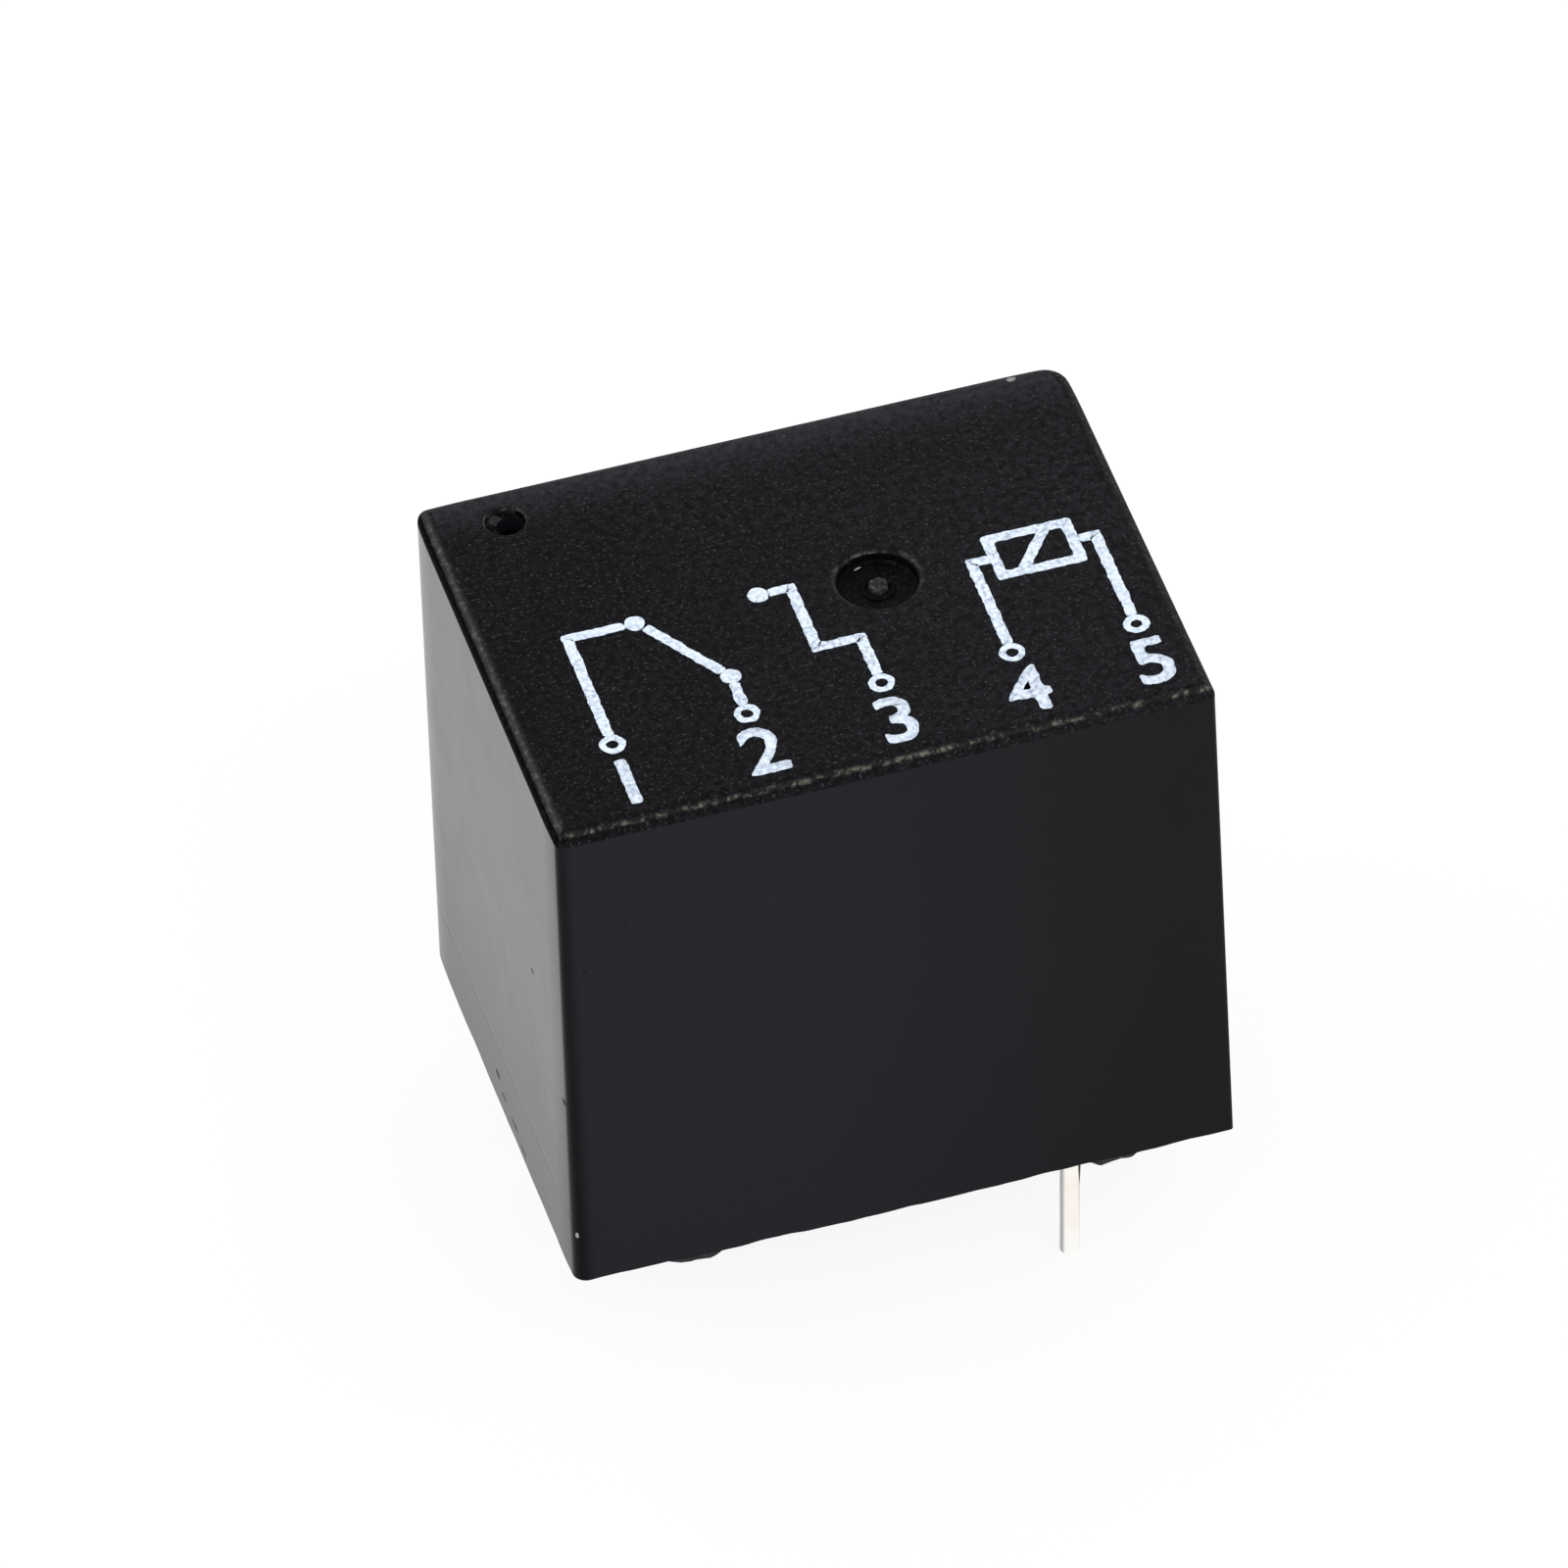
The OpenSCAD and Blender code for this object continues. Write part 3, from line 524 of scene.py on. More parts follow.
caseSizes = {
    "draft": 0.2, "leastCorner": 0.03, "steps": 6,
    # Upright corners from rear right to front right: radius below, radius above, fall of the walls beside
    "corners": ((0.6, 0.85, 0.03), (0.75, 0.35, 0.03), (0.48, 0.3, 0.03), (0.12, 0.15, 0.0)),
    "bow": 1.3, "bowSteps": 4,
    "edge": 0.45, "edgeSteps": 9,
    "grainDown": 0.55, "shoulderDown": 0.155,  # where the grain starts, and where its painted-shade shoulder on the left ends and its crest begins, below the top
    "wall": 0.6, "ledge": 0.2, "seat": 2.5, "roof": 0.9,
    "witness": (2.52, 2.6, 2.9), "witnessDepth": 0.0035,  # faint line in the walls, level with the base
    # Uneven lower edge: pitch and depth of its waves
    "flash": {"waves": ((0.45, 0.07), (1.5, 0.045)), "sag": 0.05, "span": 9.0, "cuts": 90, "longSide": 5},
    "vent": {"at": (-8.21, 6.5), "radius": 0.65, "rim": 0.12, "ledge": 0.2, "ledgeDown": 0.3,
             "ledgeFall": 0.06, "ledgeSide": 0.16, "ledgeDepth": 0.1, "glint": (95, 150)},
    "recess": {"at": (2.2, 0.13), "radius": 1.3, "depth": 0.5, "rim": 0.25, "floorRound": 0.12,
               "ring": 0.48, "ringHeight": 0.09, "stub": 0.32, "stubFoot": 0.02, "stubHeight": 0.24,
               "stubRound": 0.12, "stubDip": 0.03, "tornFrom": 0.05, "torn": 0.09, "tears": 5.0},
    "pad": {"radius": 1.9, "drop": 0.5},
    "slack": 0.01,  # margin for picking points by their distance
}


# Rounded oblong at one level, inset from the case's foot; the walls fall off a little beside each corner
def addRing(bm, high, z, inset, radii):
    steps, bow, bowSteps = (caseSizes[key] for key in ("steps", "bow", "bowSteps"))
    quarter = math.pi / 2
    verts = []
    shares = [i / bowSteps for i in range(bowSteps, 0, -1)]
    for turn, (sideX, sideY) in enumerate(((1, 1), (-1, 1), (-1, -1), (1, -1))):
        radius, fall = radii[turn], caseSizes["corners"][turn][2]
        back = inset + radius + fall
        middle = Vector((sideX * (high.x - back), sideY * (high.y - back), z))
        ways = [Vector((math.cos(quarter * i), math.sin(quarter * i), 0)) for i in (turn, turn + 1)]
        flanks = [(radius + fall * (1 - (1 - share) ** 2), -bow * share) for share in shares]
        angles = [quarter * i / steps for i in range(steps + 1)]
        arc = [(radius * math.cos(angle), radius * math.sin(angle)) for angle in angles]
        corner = flanks + arc + [(across, out) for out, across in reversed(flanks)]
        verts += [bm.verts.new(middle + ways[0] * first + ways[1] * second) for first, second in corner]
    return [bm.edges.new(pair) for pair in zip(verts, verts[1:] + verts[:1])]


def growOuterShell(bm, low, high):
    sizes = caseSizes
    tall, edge = high.z - low.z, sizes["edge"]
    marks = [low.z + up for up in sizes["witness"]]
    levels = [(low.z, 0.0), (marks[0], 0.0), (marks[1], sizes["witnessDepth"]), (marks[2], 0.0),
              (high.z - sizes["grainDown"], 0.0)]
    for step in range(sizes["edgeSteps"] + 1):
        turn = math.radians(90 * step / sizes["edgeSteps"])
        levels.append((high.z - edge * (1 - math.sin(turn)), edge * (1 - math.cos(turn))))
    last = None
    for z, dent in levels:
        share = (z - low.z) / tall
        radii = [max(below + (above - below) * share - dent, sizes["leastCorner"])
                 for below, above, _ in sizes["corners"]]
        ring = addRing(bm, high, z, sizes["draft"] * share + dent, radii)
        if last:
            bmesh.ops.bridge_loops(bm, edges=last + ring)
        last = ring


def growRoom(bm, low, high):
    sizes = caseSizes
    half = [high[i] - sizes["wall"] for i in (0, 1)]
    corners = bmesh.ops.create_grid(bm, x_segments=1, y_segments=1, size=1)["verts"]
    bmesh.ops.scale(bm, vec=(*half, 1), verts=corners)
    bmesh.ops.translate(bm, vec=(0, 0, low.z), verts=corners)
    face = corners[0].link_faces[0]
    for z, inset in ((low.z + sizes["seat"], sizes["ledge"]), (high.z - sizes["roof"], 0)):
        grown = bmesh.ops.extrude_face_region(bm, geom=[face])["geom"]
        if face.is_valid:
            bmesh.ops.delete(bm, geom=[face], context="FACES_ONLY")
        face = next(g for g in grown if isinstance(g, bmesh.types.BMFace))
        for v in face.verts:
            v.co.z = z
        if inset:
            bmesh.ops.inset_region(bm, faces=[face], thickness=inset)
    bmesh.ops.delete(bm, geom=[face], context="FACES_ONLY")


def frayLowerEdge(bm, z):
    flash = caseSizes["flash"]
    sides = [edge for edge in bm.edges if edge.calc_length() > flash["longSide"] and isLevel(edge, z)]
    bmesh.ops.subdivide_edges(bm, edges=sides, cuts=flash["cuts"])
    for v in bm.verts:
        if abs(v.co.z - z) < hair:
            uneven = sum(depth * noise.noise(v.co * pitch) for pitch, depth in flash["waves"])
            v.co.z += uneven - flash["sag"] * max(0, 1 - (v.co.x / flash["span"]) ** 2)
    bmesh.ops.triangulate(bm, faces=[f for f in bm.faces if len(f.verts) > 4])


# Vent hole with a ledge inside it, moved to one side
def growVent(bm, top, ceiling):
    vent = caseSizes["vent"]
    rim = arcPoints(vent["radius"] + vent["rim"], top - vent["rim"], vent["rim"], 90, 180)
    ledge, ledgeZ = vent["radius"] - vent["ledge"], top - vent["ledgeDown"]
    well = [(vent["radius"], ledgeZ), (ledge, ledgeZ - vent["ledgeFall"]), (ledge, ceiling)]
    spinAbout(bm, rim + well, *vent["at"])
    for v in bm.verts:
        if (v.co.xy - Vector(vent["at"])).length < ledge + caseSizes["slack"]:
            v.co.x += vent["ledgeSide"]


# Round recess with the gate's stub in a low ring, over a pad that keeps the roof thick
def growRecess(bm, top, ceiling):
    recess, pad = caseSizes["recess"], caseSizes["pad"]
    floor = top - recess["depth"]
    bend, soft, stubTop = recess["floorRound"], recess["stubRound"], floor + recess["stubHeight"]
    rim = arcPoints(recess["radius"] + recess["rim"], top - recess["rim"], recess["rim"], 90, 180)
    foot = arcPoints(recess["radius"] - bend, floor + bend, bend, 0, -90)
    ring = arcPoints(recess["ring"], floor, recess["ringHeight"], 0, 180)
    stub = [(recess["stub"], floor + recess["stubFoot"])]
    stub += arcPoints(recess["stub"] - soft, stubTop - soft, soft, 0, 90)
    stub.append((0.0, stubTop - recess["stubDip"]))
    spinAbout(bm, rim + foot + ring + stub, *recess["at"])
    padFloor = ceiling - pad["drop"]
    spinAbout(bm, [(pad["radius"], ceiling), (pad["radius"], padFloor), (0.0, padFloor)], *recess["at"])


def tearStub(bm, floor):
    recess = caseSizes["recess"]
    for v in bm.verts:
        near = (v.co.xy - Vector(recess["at"])).length < recess["stub"] + caseSizes["slack"]
        if near and v.co.z > floor + recess["tornFrom"]:
            v.co.z += recess["torn"] * noise.noise(v.co * recess["tears"])


# Which of the case's finishes a face takes
def pickFinish(face, high, floor):
    sizes, vent, recess = caseSizes, caseSizes["vent"], caseSizes["recess"]
    middle = face.calc_center_median()
    fromVent, fromRecess = (middle.xy - Vector(hole["at"]) for hole in (vent, recess))
    ledgeZ = high.z - vent["ledgeDown"]
    # Painted shade fills the gate recess and the vent's ledge; the stub takes its lighter finish, and so
    # does a patch of the ledge as a painted glint
    if fromRecess.length < recess["radius"] + sizes["slack"] and middle.z > floor - sizes["slack"]:
        return gateStub if fromRecess.length < recess["stub"] else recessShadeBlack
    if fromVent.length < vent["radius"] and ledgeZ - vent["ledgeDepth"] < middle.z < ledgeZ:
        turn = math.degrees(math.atan2(fromVent.y, fromVent.x))
        return gateStub if vent["glint"][0] < turn < vent["glint"][1] else recessShadeBlack
    if middle.z < high.z - sizes["grainDown"]:
        return caseGloss
    if abs(face.normal.x) <= abs(face.normal.y):
        return caseGrain
    # On the left, the rounded edge below its crest takes painted shade
    return caseShoulderShade if middle.z < high.z - sizes["shoulderDown"] and middle.x < 0 else caseSideGrain


def buildCase():
    sizes = caseSizes
    low, high = cadBox("case")
    ceiling, floor = high.z - sizes["roof"], high.z - sizes["recess"]["depth"]
    bm = bmesh.new()
    growOuterShell(bm, low, high)
    growRoom(bm, low, high)
    growVent(bm, high.z, ceiling)
    growRecess(bm, high.z, ceiling)
    bmesh.ops.remove_doubles(bm, verts=bm.verts, dist=hair)
    tearStub(bm, floor)
    for z in (low.z, ceiling, high.z):
        bmesh.ops.triangle_fill(bm, edges=boundaryAt(bm, z), use_beauty=True)
    frayLowerEdge(bm, low.z)
    bmesh.ops.recalc_face_normals(bm, faces=bm.faces)
    finishes = [caseGloss, caseGrain, recessShadeBlack, gateStub, caseShoulderShade, caseSideGrain]
    for face in bm.faces:
        face.material_index = finishes.index(pickFinish(face, high, floor))
    softShade(bm)
    for edge in bm.edges:  # the faint line keeps its creases
        if any(isLevel(edge, low.z + up) for up in sizes["witness"]):
            edge.smooth = False
    piece = makePiece(bm, "caseShell", finishes, ["case"])
    normals = piece.modifiers.new("flatFaces", "WEIGHTED_NORMAL")
    normals.keep_sharp = True
    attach(piece, "relay_body")
    return piece


caseShell = buildCase()
print("case:", len(caseShell.data.polygons), "faces")


# Base: plate with locating ribs and the wall behind the contact blades, on four worn feet

baseSizes = {
    "plate": ((-10.35, -7.6, 1.55), (10.35, 7.6, 3.45)),
    "wall": ((-8.75, -3.4, 3.45), (-7.75, 3.4, 8.95)),
    "rib": ((0.05, 4.3, 3.45), (5.45, 4.9, 4.45)),
    # Worn soles, left and right, from root to root
    "feet": (((-8.1, 1.6), (-7.95, 0.42), (-7.66, 0.24), (-7.34, 0.1), (-7.02, 0.05), (-6.85, 0.07),
              (-6.53, 0.03), (-6.37, 0.0), (-6.2, 0.05), (-6.03, 0.15), (-5.86, 0.31), (-5.75, 1.6)),
             ((6.2, 1.6), (6.34, 0.27), (6.47, 0.18), (6.6, 0.07), (6.73, 0.0), (6.86, 0.03), (7.13, 0.08),
              (7.39, 0.11), (7.66, 0.06), (7.79, 0.08), (7.92, 0.19), (8.06, 0.28), (8.2, 1.6))),
    "footDepth": (6.0, 7.6), "footRound": 0.04, "soft": 0.08,
}


def growFoot(bm, outline, sideY):
    inner, outer = baseSizes["footDepth"]
    front = bm.faces.new([bm.verts.new((x, sideY * outer, z)) for x, z in outline])
    rim = front.edges[:]
    grown = bmesh.ops.extrude_face_region(bm, geom=[front])["geom"]
    bmesh.ops.translate(bm, vec=(0, sideY * (inner - outer), 0),
                        verts=[g for g in grown if isinstance(g, bmesh.types.BMVert)])
    roundEdges(bm, rim, baseSizes["footRound"])


def buildBase():
    bm = bmesh.new()
    roundEdges(bm, edgesOf(makeBlock(bm, *baseSizes["plate"])), baseSizes["soft"])
    before = set(bm.verts)
    makeBlock(bm, *baseSizes["wall"])
    low, high = baseSizes["rib"]
    makeBlock(bm, low, high)
    makeBlock(bm, (low[0], -high[1], low[2]), (high[0], -low[1], high[2]))
    roundEdges(bm, edgesOf([v for v in bm.verts if v not in before]), baseSizes["soft"])
    for outline in baseSizes["feet"]:
        for sideY in (-1, 1):
            growFoot(bm, outline, sideY)
    bmesh.ops.recalc_face_normals(bm, faces=bm.faces)
    softShade(bm)
    piece = makePiece(bm, "basePlate", [baseBlack], ["base"])
    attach(piece, "relay_body")


buildBase()
print("base: plate, ribs and feet")


# Resin: poured level, climbing a little up the wall, the pins and the feet

resinSizes = {"half": (10.4, 7.65), "level": 1.22, "climb": 0.24, "reach": 0.45, "back": 1.55,
              "cells": (104, 76), "ripple": 0.03, "ripplePitch": 0.5}
# Place and radius of each pin
pinPlaces = [((5.75, -7.0), 0.375), ((5.75, 7.0), 0.375), ((8.35, 0.0), 0.5), ((-9.05, -2.1), 0.5),
             ((-9.05, 2.1), 0.5)]


def nearestEdge(x, y):
    halfX, halfY = resinSizes["half"]
    gaps = [halfX - abs(x), halfY - abs(y)]
    gaps += [max(math.hypot(x - px, y - py) - radius, 0) for (px, py), radius in pinPlaces]
    for outline in baseSizes["feet"]:
        beside = max(outline[0][0] - x, x - outline[-1][0], 0)
        gaps.append(math.hypot(beside, max(baseSizes["footDepth"][0] - abs(y), 0)))
    return min(gaps)


def buildResin():
    sizes = resinSizes
    bm = bmesh.new()
    across, along = sizes["cells"]
    grid = bmesh.ops.create_grid(bm, x_segments=across, y_segments=along, size=1)["verts"]
    bmesh.ops.scale(bm, vec=(*sizes["half"], 1), verts=grid)
    skin = bmesh.ops.extrude_face_region(bm, geom=bm.faces[:])["geom"]
    for v in skin:
        if isinstance(v, bmesh.types.BMVert):
            gap = nearestEdge(v.co.x, v.co.y)
            ripple = sizes["ripple"] * noise.noise(v.co.xy.to_3d() * sizes["ripplePitch"])
            v.co.z = sizes["level"] + ripple - sizes["climb"] * math.exp(-gap / sizes["reach"])
    for v in grid:
        v.co.z = sizes["back"]
    bmesh.ops.recalc_face_normals(bm, faces=bm.faces)
    softShade(bm)
    piece = makePiece(bm, "resinFill", [resinBlack], ["sealing_resin"])
    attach(piece, "relay_body")


buildResin()
print("resin poured")


# Coil pins: drawn wire with a cropped, slightly rounded tip

pinSizes = {"shank": 0.325, "root": 0.375, "post": 0.225, "tip": -4.0, "tipRound": 0.09, "rootTop": 3.45,
            "shoulder": 0.05, "straightAt": -4.2, "leanTo": 2.45, "sides": 40}
coilPins = {
    "coil_pin_front": {"name": "coilPinFront", "lean": 0.025, "finish": litTinnedWire},
    "coil_pin_rear": {"name": "coilPinRear", "lean": -0.012, "finish": tinnedPin},
}


def buildPin(node, pin):
    low, high = cadBox(node)
    shank, root, post, soft = (pinSizes[key] for key in ("shank", "root", "post", "tipRound"))
    shoulder, rootTop = pinSizes["shoulder"], pinSizes["rootTop"]
    tip = arcPoints(shank - soft, pinSizes["tip"] + soft, soft, -90, 0)
    body = [(shank, -shoulder), (root, shoulder), (root, rootTop), (post, rootTop)]
    bm = bmesh.new()
    spinAbout(bm, [(0.0, pinSizes["tip"])] + tip + body + [(post, high.z), (0.0, high.z)],
              (low.x + high.x) / 2, (low.y + high.y) / 2, pinSizes["sides"])
    bmesh.ops.remove_doubles(bm, verts=bm.verts, dist=hair)
    bmesh.ops.recalc_face_normals(bm, faces=bm.faces)
    for v in bm.verts:
        if v.co.z < pinSizes["leanTo"]:
            v.co.x += pin["lean"] * (v.co.z - pinSizes["straightAt"])
    softShade(bm, 50)
    piece = makePiece(bm, pin["name"], [pin["finish"]], [node])
    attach(piece, "relay_body")


for node, pin in coilPins.items():
    buildPin(node, pin)
print("coil pins:", len(coilPins))


# Painted reflection: a dark sliver in the resin's finish down the right of the front pin, where the pin's
# flank reflects the dark foot

pinReflectionSizes = {"at": (6.1, -7.16), "top": 1.2, "tip": -1.0, "wide": 0.15, "thin": 0.012, "sides": 14}


def buildRun():
    sizes = pinReflectionSizes
    bm = bmesh.new()
    middle = Matrix.Translation((*sizes["at"], (sizes["top"] + sizes["tip"]) / 2))
    bmesh.ops.create_cone(bm, cap_ends=True, segments=sizes["sides"], radius1=sizes["thin"],
                          radius2=sizes["wide"], depth=sizes["top"] - sizes["tip"], matrix=middle)
    softShade(bm)
    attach(makePiece(bm, "pinReflectionSliver", [resinBlack]), "relay_body")


buildRun()
print("resin run set")


# Pale marks on two edges, a painted highlight where the gate recess's wall meets its floor, and dark
# flecks on the left wall: two of grime mid-wall, four along its lower edge

nickAndHighlightSizes = {
    # Place, half sizes and turn about the upright
    "pale": (((-10.8, -8.035, 2.9), (0.07, 0.07, 0.13), 0),
             ((8.95, 7.62, 20.338), (0.17, 0.1, 0.025), 0),
             # Painted highlight where the gate recess's wall meets its floor
             ((1.835, 1.15, 19.93), (0.15, 0.03, 0.03), 19)),
    "dark": (((-10.987, 0.54, 2.15), (0.012, 0.26, 0.11), 0),
             ((-10.99, -0.15, 1.75), (0.012, 0.3, 0.06), 0),
             ((-10.992, -1.3, 1.6), (0.012, 0.42, 0.05), 0),
             ((-10.994, -2.3, 1.36), (0.012, 0.4, 0.04), 0),
             ((-10.893, -4.46, 11.33), (0.012, 0.16, 0.06), 0),
             ((-10.921, -7.64, 8.48), (0.012, 0.2, 0.05), 0)),
    "rough": 0.25, "pitch": 2,
}


def buildNicks():
    bm = bmesh.new()
    for finish, kind in enumerate(("pale", "dark")):
        for place, size, turn in nickAndHighlightSizes[kind]:
            verts = bmesh.ops.create_icosphere(bm, subdivisions=2, radius=1)["verts"]
            for v in verts:
                v.co *= 1 + nickAndHighlightSizes["rough"] * noise.noise(v.co * nickAndHighlightSizes["pitch"] + Vector(place))
            bmesh.ops.scale(bm, vec=size, verts=verts)
            bmesh.ops.rotate(bm, verts=verts, matrix=Matrix.Rotation(math.radians(turn), 3, "Z"))
            bmesh.ops.translate(bm, vec=place, verts=verts)
            for face in facesOf(verts):
                face.material_index = finish
    softShade(bm, 60)
    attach(makePiece(bm, "edgeNicksAndHighlight", [paleNickAndHighlight, baseBlack]), "relay_body")


buildNicks()
print("nicks:", len(nickAndHighlightSizes["pale"]), "pale,", len(nickAndHighlightSizes["dark"]), "dark")


# Contact spring: one strip up the yoke, over the bend and along the armature to the moving contact

springSizes = {
    "thickness": 0.25, "halfWidth": 3.5, "tipRadius": 1.2, "legX": 7.85, "legFoot": 10.318,
    "bendX": 6.85, "bendZ": 15.284, "tilt": 2.6, "taperAt": 10.6, "contactAt": 14.147,
    "legSteps": 8, "bendSteps": 14, "flatSteps": 10, "taperSteps": 5, "tipTurns": (18, 36, 54, 72, 86),
    "stillTo": (8.0, 0, 13.4), "movesFrom": (6.9, 0, 16.4),  # the real strip is held still up to the first point and moves from the second
}


# Distance along the flat arm, and half width there: straight, tapered, then round about the contact
def springStops():
    sizes = springSizes
    half, radius = sizes["halfWidth"], sizes["tipRadius"]
    contactAt, taperAt = sizes["contactAt"], sizes["taperAt"]
    flat, taper = sizes["flatSteps"], sizes["taperSteps"]
    stops = [(taperAt * i / flat, half) for i in range(1, flat + 1)]
    stops += [(taperAt + (contactAt - taperAt) * i / taper, half + (radius - half) * i / taper)
              for i in range(1, taper + 1)]
    turns = [math.radians(turn) for turn in sizes["tipTurns"]]
    return stops + [(contactAt + radius * math.sin(turn), radius * math.cos(turn)) for turn in turns]


def buildSpring():
    sizes = springSizes
    bm = bmesh.new()
    half = sizes["halfWidth"]
    edge = bm.edges.new([bm.verts.new((sizes["legX"], y, sizes["legFoot"])) for y in (-half, half)])

    def grow(move, halfWidth):
        nonlocal edge
        grown = bmesh.ops.extrude_edge_only(bm, edges=[edge])["geom"]
        edge = next(g for g in grown if isinstance(g, bmesh.types.BMEdge))
        bmesh.ops.translate(bm, vec=move, verts=edge.verts)
        for v in edge.verts:
            v.co.y = math.copysign(halfWidth, v.co.y)

    legSteps = sizes["legSteps"]
    for step in range(legSteps):
        grow((0, 0, (sizes["bendZ"] - sizes["legFoot"]) / legSteps), half)
    tilt = math.radians(sizes["tilt"])
    spun = bmesh.ops.spin(bm, geom=[edge, *edge.verts], cent=(sizes["bendX"], 0, sizes["bendZ"]),
                          axis=(0, -1, 0), angle=math.pi / 2 - tilt, steps=sizes["bendSteps"])["geom_last"]
    edge = next(g for g in spun if isinstance(g, bmesh.types.BMEdge))
    along = Vector((-math.cos(tilt), 0, math.sin(tilt)))
    done = 0
    for reach, halfWidth in springStops():
        grow(along * (reach - done), halfWidth)
        done = reach
    bmesh.ops.recalc_face_normals(bm, faces=bm.faces)
    bmesh.ops.solidify(bm, geom=bm.faces[:], thickness=-sizes["thickness"])
    bmesh.ops.recalc_face_normals(bm, faces=bm.faces)
    softShade(bm)
    piece = makePiece(bm, "contactSpring", [springBronze], ["contact_spring"])
    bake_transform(piece)


buildSpring()
print("contact spring bent")


# Pad print on the top: a plain connection diagram with numbered terminals

printSizes = {
    "thickness": 0.012, "sink": 0.01, "layer": 0.0015, "layers": 6, "line": 0.36,
    "ragged": ((3.5, 0.04), (10.0, 0.022)), "step": 0.08, "blur": 2, "blurShare": 0.5, "discSides": 28,
    "terminals": (-7.9, -3.5, 0.9, 5.2, 9.3), "terminalY": -4.55, "ring": (0.42, 0.2),
    "digit": {"size": 2.9, "baseline": -7.3, "bold": 0.05, "curveSteps": 5},
    "dots": ((-5.68, 0.55), (-1.62, 0.55), (-3.5, -2.75)), "dot": 0.34,
    "wires": (
        ((-7.9, -4.13), (-7.9, 0.55), (-6.02, 0.55)),
        ((-3.5, -4.13), (-3.5, -3.09)),
        ((-3.68, -2.46), (-5.42, 0.27)),
        ((0.9, -4.13), (0.9, -2.35), (-0.55, -2.35), (-0.55, 0.55), (-1.28, 0.55)),
        ((5.2, -4.13), (5.2, -0.2), (5.78, -0.2)),
        ((9.3, -4.13), (9.3, -0.2), (8.76, -0.2)),
        ((6.62, -1.1), (7.92, 0.7)),
    ),
    "coil": ((5.78, -1.25), (8.76, 0.85)),
}


def addRibbon(bm, points, width, step):
    path = [Vector(p) for p in points]
    fine = [path[0]]
    for a, b in zip(path, path[1:]):
        count = max(1, round((b - a).length / step))
        fine += [a.lerp(b, i / count) for i in range(1, count + 1)]
    edge = None
    for i, point in enumerate(fine):
        before = (point - fine[i - 1]).normalized() if i else (fine[1] - point).normalized()
        after = (fine[i + 1] - point).normalized() if i + 1 < len(fine) else before
        along = (before + after).normalized()
        mitre = width / 2 / max(along.dot(before), 0.5)  # never longer than the ribbon's width
        side = Vector((-along.y, along.x)) * mitre
        if edge is None:
            edge = bm.edges.new([bm.verts.new((*(point + s), 0)) for s in (side, -side)])
            continue
        grown = bmesh.ops.extrude_edge_only(bm, edges=[edge])["geom"]
        old = edge.verts[:]
        edge = next(g for g in grown if isinstance(g, bmesh.types.BMEdge))
        left = next(v for v in edge.verts if (v.co - old[0].co).length < hair)
        left.co = (*(point + side), 0)
        right = next(v for v in edge.verts if v is not left)
        right.co = (*(point - side), 0)


def addDigit(bm, figure, x):
    digit = printSizes["digit"]
    curve = bpy.data.curves.new("figure", "FONT")
    curve.body, curve.align_x = figure, "CENTER"
    curve.size, curve.offset, curve.resolution_u = digit["size"], digit["bold"], digit["curveSteps"]
    holder = bpy.data.objects.new("figure", curve)
    scene.collection.objects.link(holder)
    finished = holder.evaluated_get(bpy.context.evaluated_depsgraph_get())
    mesh = bpy.data.meshes.new_from_object(finished)
    mesh.transform(Matrix.Translation((x, digit["baseline"], 0)))
    bm.from_mesh(mesh)
    bpy.data.objects.remove(holder)
    bpy.data.curves.remove(curve)
    bpy.data.meshes.remove(mesh)


def cutMiddle(bm, face, width):
    bmesh.ops.inset_region(bm, faces=[face], thickness=width, use_boundary=True, use_even_offset=True)
    bmesh.ops.delete(bm, geom=[face], context="FACES_ONLY")


def addDisc(bm, x, y, outer, inner=None):
    place = Matrix.Translation((x, y, 0))
    disc = bmesh.ops.create_circle(bm, cap_ends=True, radius=outer, segments=printSizes["discSides"],
                                   matrix=place)["verts"]
    if inner:
        cutMiddle(bm, facesOf(disc)[0], outer - inner)


def addFrame(bm, low, high, width):
    verts = [bm.verts.new((x, y, 0)) for x, y in (low, (high[0], low[1]), high, (low[0], high[1]))]
    face = bm.faces.new(verts)
    face.normal_update()
    cutMiddle(bm, face, width)


# Each shape lies a hair above the one before, so that no two faces share a plane where ends meet
def layShapes(bm):
    sizes = printSizes
    shapes = [(addRibbon, (wire, sizes["line"], sizes["step"])) for wire in sizes["wires"]]
    shapes.append((addFrame, (*sizes["coil"], sizes["line"])))
    shapes += [(addDisc, (*place, sizes["dot"])) for place in sizes["dots"]]
    shapes += [(addDisc, (x, sizes["terminalY"], *sizes["ring"])) for x in sizes["terminals"]]
    shapes += [(addDigit, (str(number), x)) for number, x in enumerate(sizes["terminals"], 1)]
    done = set()
    for layer, (add, values) in enumerate(shapes):
        add(bm, *values)
        for v in set(bm.verts) - done:
            v.co.z = sizes["layer"] * (layer % sizes["layers"])
        done = set(bm.verts)


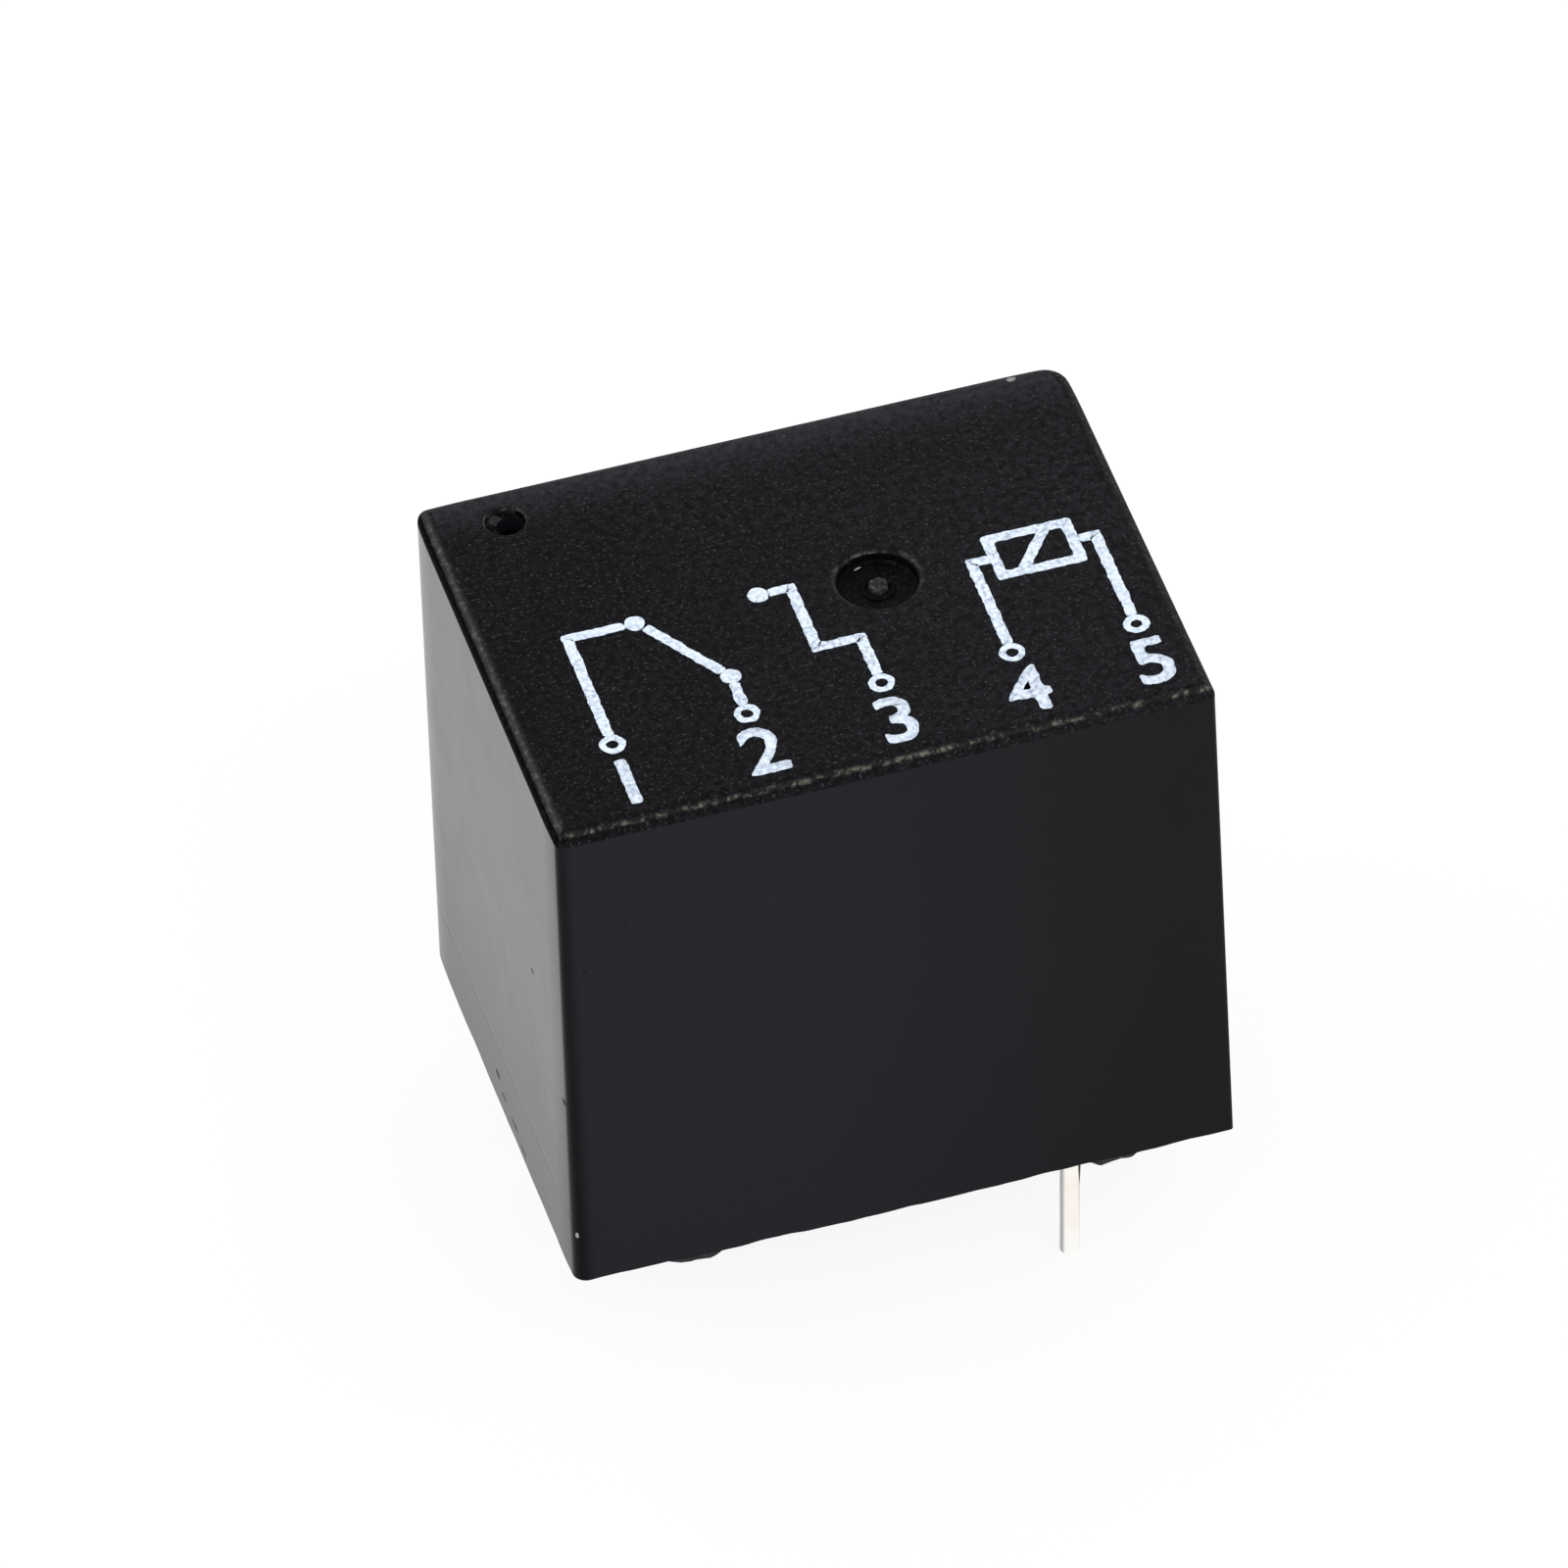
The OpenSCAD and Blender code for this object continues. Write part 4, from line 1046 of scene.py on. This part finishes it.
def buildPrint():
    sizes = printSizes
    bm = bmesh.new()
    layShapes(bm)
    for edge in [e for e in bm.edges if e.is_boundary]:
        cuts = int(edge.calc_length() / sizes["step"])
        if cuts:
            bmesh.ops.subdivide_edges(bm, edges=[edge], cuts=cuts)
    rims = [v for v in bm.verts if v.is_boundary]
    for turn in range(sizes["blur"]):
        middles = {}
        for v in rims:
            beside = [e.other_vert(v).co for e in v.link_edges if e.is_boundary]
            middles[v] = sum(beside, Vector()) / 2
        for v, middle in middles.items():
            v.co = v.co.lerp(middle, sizes["blurShare"])
    for v in rims:
        moves = [noise.noise_vector(v.co * pitch).xy.to_3d() * depth for pitch, depth in sizes["ragged"]]
        v.co += sum(moves, Vector())
    bmesh.ops.triangulate(bm, faces=bm.faces)
    raised = bmesh.ops.extrude_face_region(bm, geom=bm.faces[:])["geom"]
    raised = [g for g in raised if isinstance(g, bmesh.types.BMVert)]
    bmesh.ops.translate(bm, vec=(0, 0, sizes["thickness"] + sizes["sink"]), verts=raised)
    bmesh.ops.translate(bm, vec=(0, 0, cadBox("case")[1].z - sizes["sink"]), verts=bm.verts)
    bmesh.ops.recalc_face_normals(bm, faces=bm.faces)
    piece = makePiece(bm, "padPrint", [padInk])
    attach(piece, "relay_body")
    return piece


padPrint = buildPrint()
print("print:", len(padPrint.data.polygons), "faces")


# Carried-over CAD pieces take their finishes

finishes = {
    tinnedPin: ("common_terminal", "normally_open_terminal", "normally_closed_terminal"),
    bobbinNatural: ("bobbin",),
    windingWire: ("coil_winding", "coil_lead_front", "coil_lead_rear"),
    tapeFilm: ("coil_tape",),
    platedIron: ("iron_core", "yoke", "armature"),
    rivetMetal: ("armature_rivets", "yoke_rivets"),
    contactSilver: ("moving_contact", "normally_open_contact", "normally_closed_contact"),
}
for material, names in finishes.items():
    for name in names:
        cad[name].data.materials.clear()
        cad[name].data.materials.append(material)

softEdges = {
    "weld": 0.002, "width": 0.05, "segments": 2, "angle": 40,
    "nodes": ("common_terminal", "normally_open_terminal", "normally_closed_terminal", "yoke", "armature"),
}
for name in softEdges["nodes"]:
    weld = cad[name].modifiers.new("join", "WELD")
    weld.merge_threshold = softEdges["weld"] * mm
    soften = cad[name].modifiers.new("soften", "BEVEL")
    soften.width = softEdges["width"] * mm
    soften.segments = softEdges["segments"]
    soften.limit_method = "ANGLE"
    soften.angle_limit = math.radians(softEdges["angle"])
print("finishes set on", sum(map(len, finishes.values())), "CAD pieces")


# Floor, light and camera

stage = {
    "floorZ": -4.0, "floorSize": 6000.0, "floorWhite": 0.97, "shadowShare": 0.1,
    "skyLight": 1.0, "lampAim": (0, 0, 10),
    "lamps": {
        "frontLamp": {"place": (70, -240, 320), "size": 150, "watts": 0.3},
        "sideLamp": {"place": (-300, 60, 240), "size": 200, "watts": 0.2},
    },
}


def seenRays(tree):
    path = tree.nodes.new("ShaderNodeLightPath").outputs
    seen = addMath(tree, "ADD", path["Is Camera Ray"], path["Is Glossy Ray"], clamp=True)
    return addMath(tree, "ADD", seen, path["Is Transmission Ray"], clamp=True)


def buildStage():
    bm = bmesh.new()
    half = stage["floorSize"] / 2
    corners = bmesh.ops.create_grid(bm, x_segments=1, y_segments=1, size=half)["verts"]
    bmesh.ops.translate(bm, vec=(0, 0, stage["floorZ"]), verts=corners)
    bmesh.ops.scale(bm, vec=(mm, mm, mm), verts=bm.verts)
    mesh = bpy.data.meshes.new("floor")
    bm.to_mesh(mesh)
    bm.free()
    floor = bpy.data.objects.new("floor", mesh)
    scene.collection.objects.link(floor)
    material, tree, shader = startMaterial("paleFloor", Roughness=0.9)
    shader.inputs["Base Color"].default_value = solid([stage["floorWhite"]] * 3)
    shader.inputs["Specular IOR Level"].default_value = 0.0
    glow = addNode(tree, "ShaderNodeEmission", {"Strength": 1.0})
    share = addMath(tree, "MULTIPLY", seenRays(tree), 1 - stage["shadowShare"])
    mix = addNode(tree, "ShaderNodeMixShader", {0: share, 1: shader.outputs["BSDF"], 2: glow.outputs[0]})
    output = next(n for n in tree.nodes if n.type == "OUTPUT_MATERIAL")
    tree.links.new(mix.outputs["Shader"], output.inputs["Surface"])
    mesh.materials.append(material)

    world = bpy.data.worlds.new("softRoom")
    scene.world = world
    world.use_nodes = True
    tree = world.node_tree
    tree.nodes.clear()
    dim = addNode(tree, "ShaderNodeBackground", {"Color": (1, 1, 1, 1), "Strength": stage["skyLight"]})
    white = addNode(tree, "ShaderNodeBackground", {"Color": (1, 1, 1, 1), "Strength": 1.0})
    mix = addNode(tree, "ShaderNodeMixShader", {0: seenRays(tree), 1: dim.outputs[0], 2: white.outputs[0]})
    output = addNode(tree, "ShaderNodeOutputWorld")
    tree.links.new(mix.outputs["Shader"], output.inputs["Surface"])

    for name, lamp in stage["lamps"].items():
        light = bpy.data.lights.new(name, "AREA")
        light.shape = "DISK"
        light.size = lamp["size"] * mm
        light.energy = lamp["watts"]
        place = Vector(lamp["place"])
        holder = bpy.data.objects.new(name, light)
        holder.location = place * mm
        holder.rotation_mode = "QUATERNION"
        holder.rotation_quaternion = (Vector(stage["lampAim"]) - place).to_track_quat("-Z", "Y")
        scene.collection.objects.link(holder)


shot = {"aim": (0.465, 6.1835, 6.41), "away": 620.17, "azimuth": -14.9973, "elevation": 43.551,
        "roll": -2.5913, "lens": 441.042, "sensor": 36, "clip": (0.01, 20)}


def buildCamera():
    turn, tip = math.radians(shot["azimuth"]), math.radians(shot["elevation"])
    back = Vector((math.sin(turn) * math.cos(tip), -math.cos(turn) * math.cos(tip), math.sin(tip)))
    data = bpy.data.cameras.new("photoCamera")
    data.sensor_width = shot["sensor"]
    data.lens = shot["lens"]
    data.clip_start, data.clip_end = shot["clip"]
    camera = bpy.data.objects.new("photoCamera", data)
    camera.location = (Vector(shot["aim"]) + back * shot["away"]) * mm
    camera.rotation_mode = "QUATERNION"
    roll = Quaternion((0, 0, 1), math.radians(shot["roll"]))
    camera.rotation_quaternion = (-back).to_track_quat("-Z", "Y") @ roll
    scene.collection.objects.link(camera)
    scene.camera = camera


buildStage()
buildCamera()
print("stage, lamps and camera set")
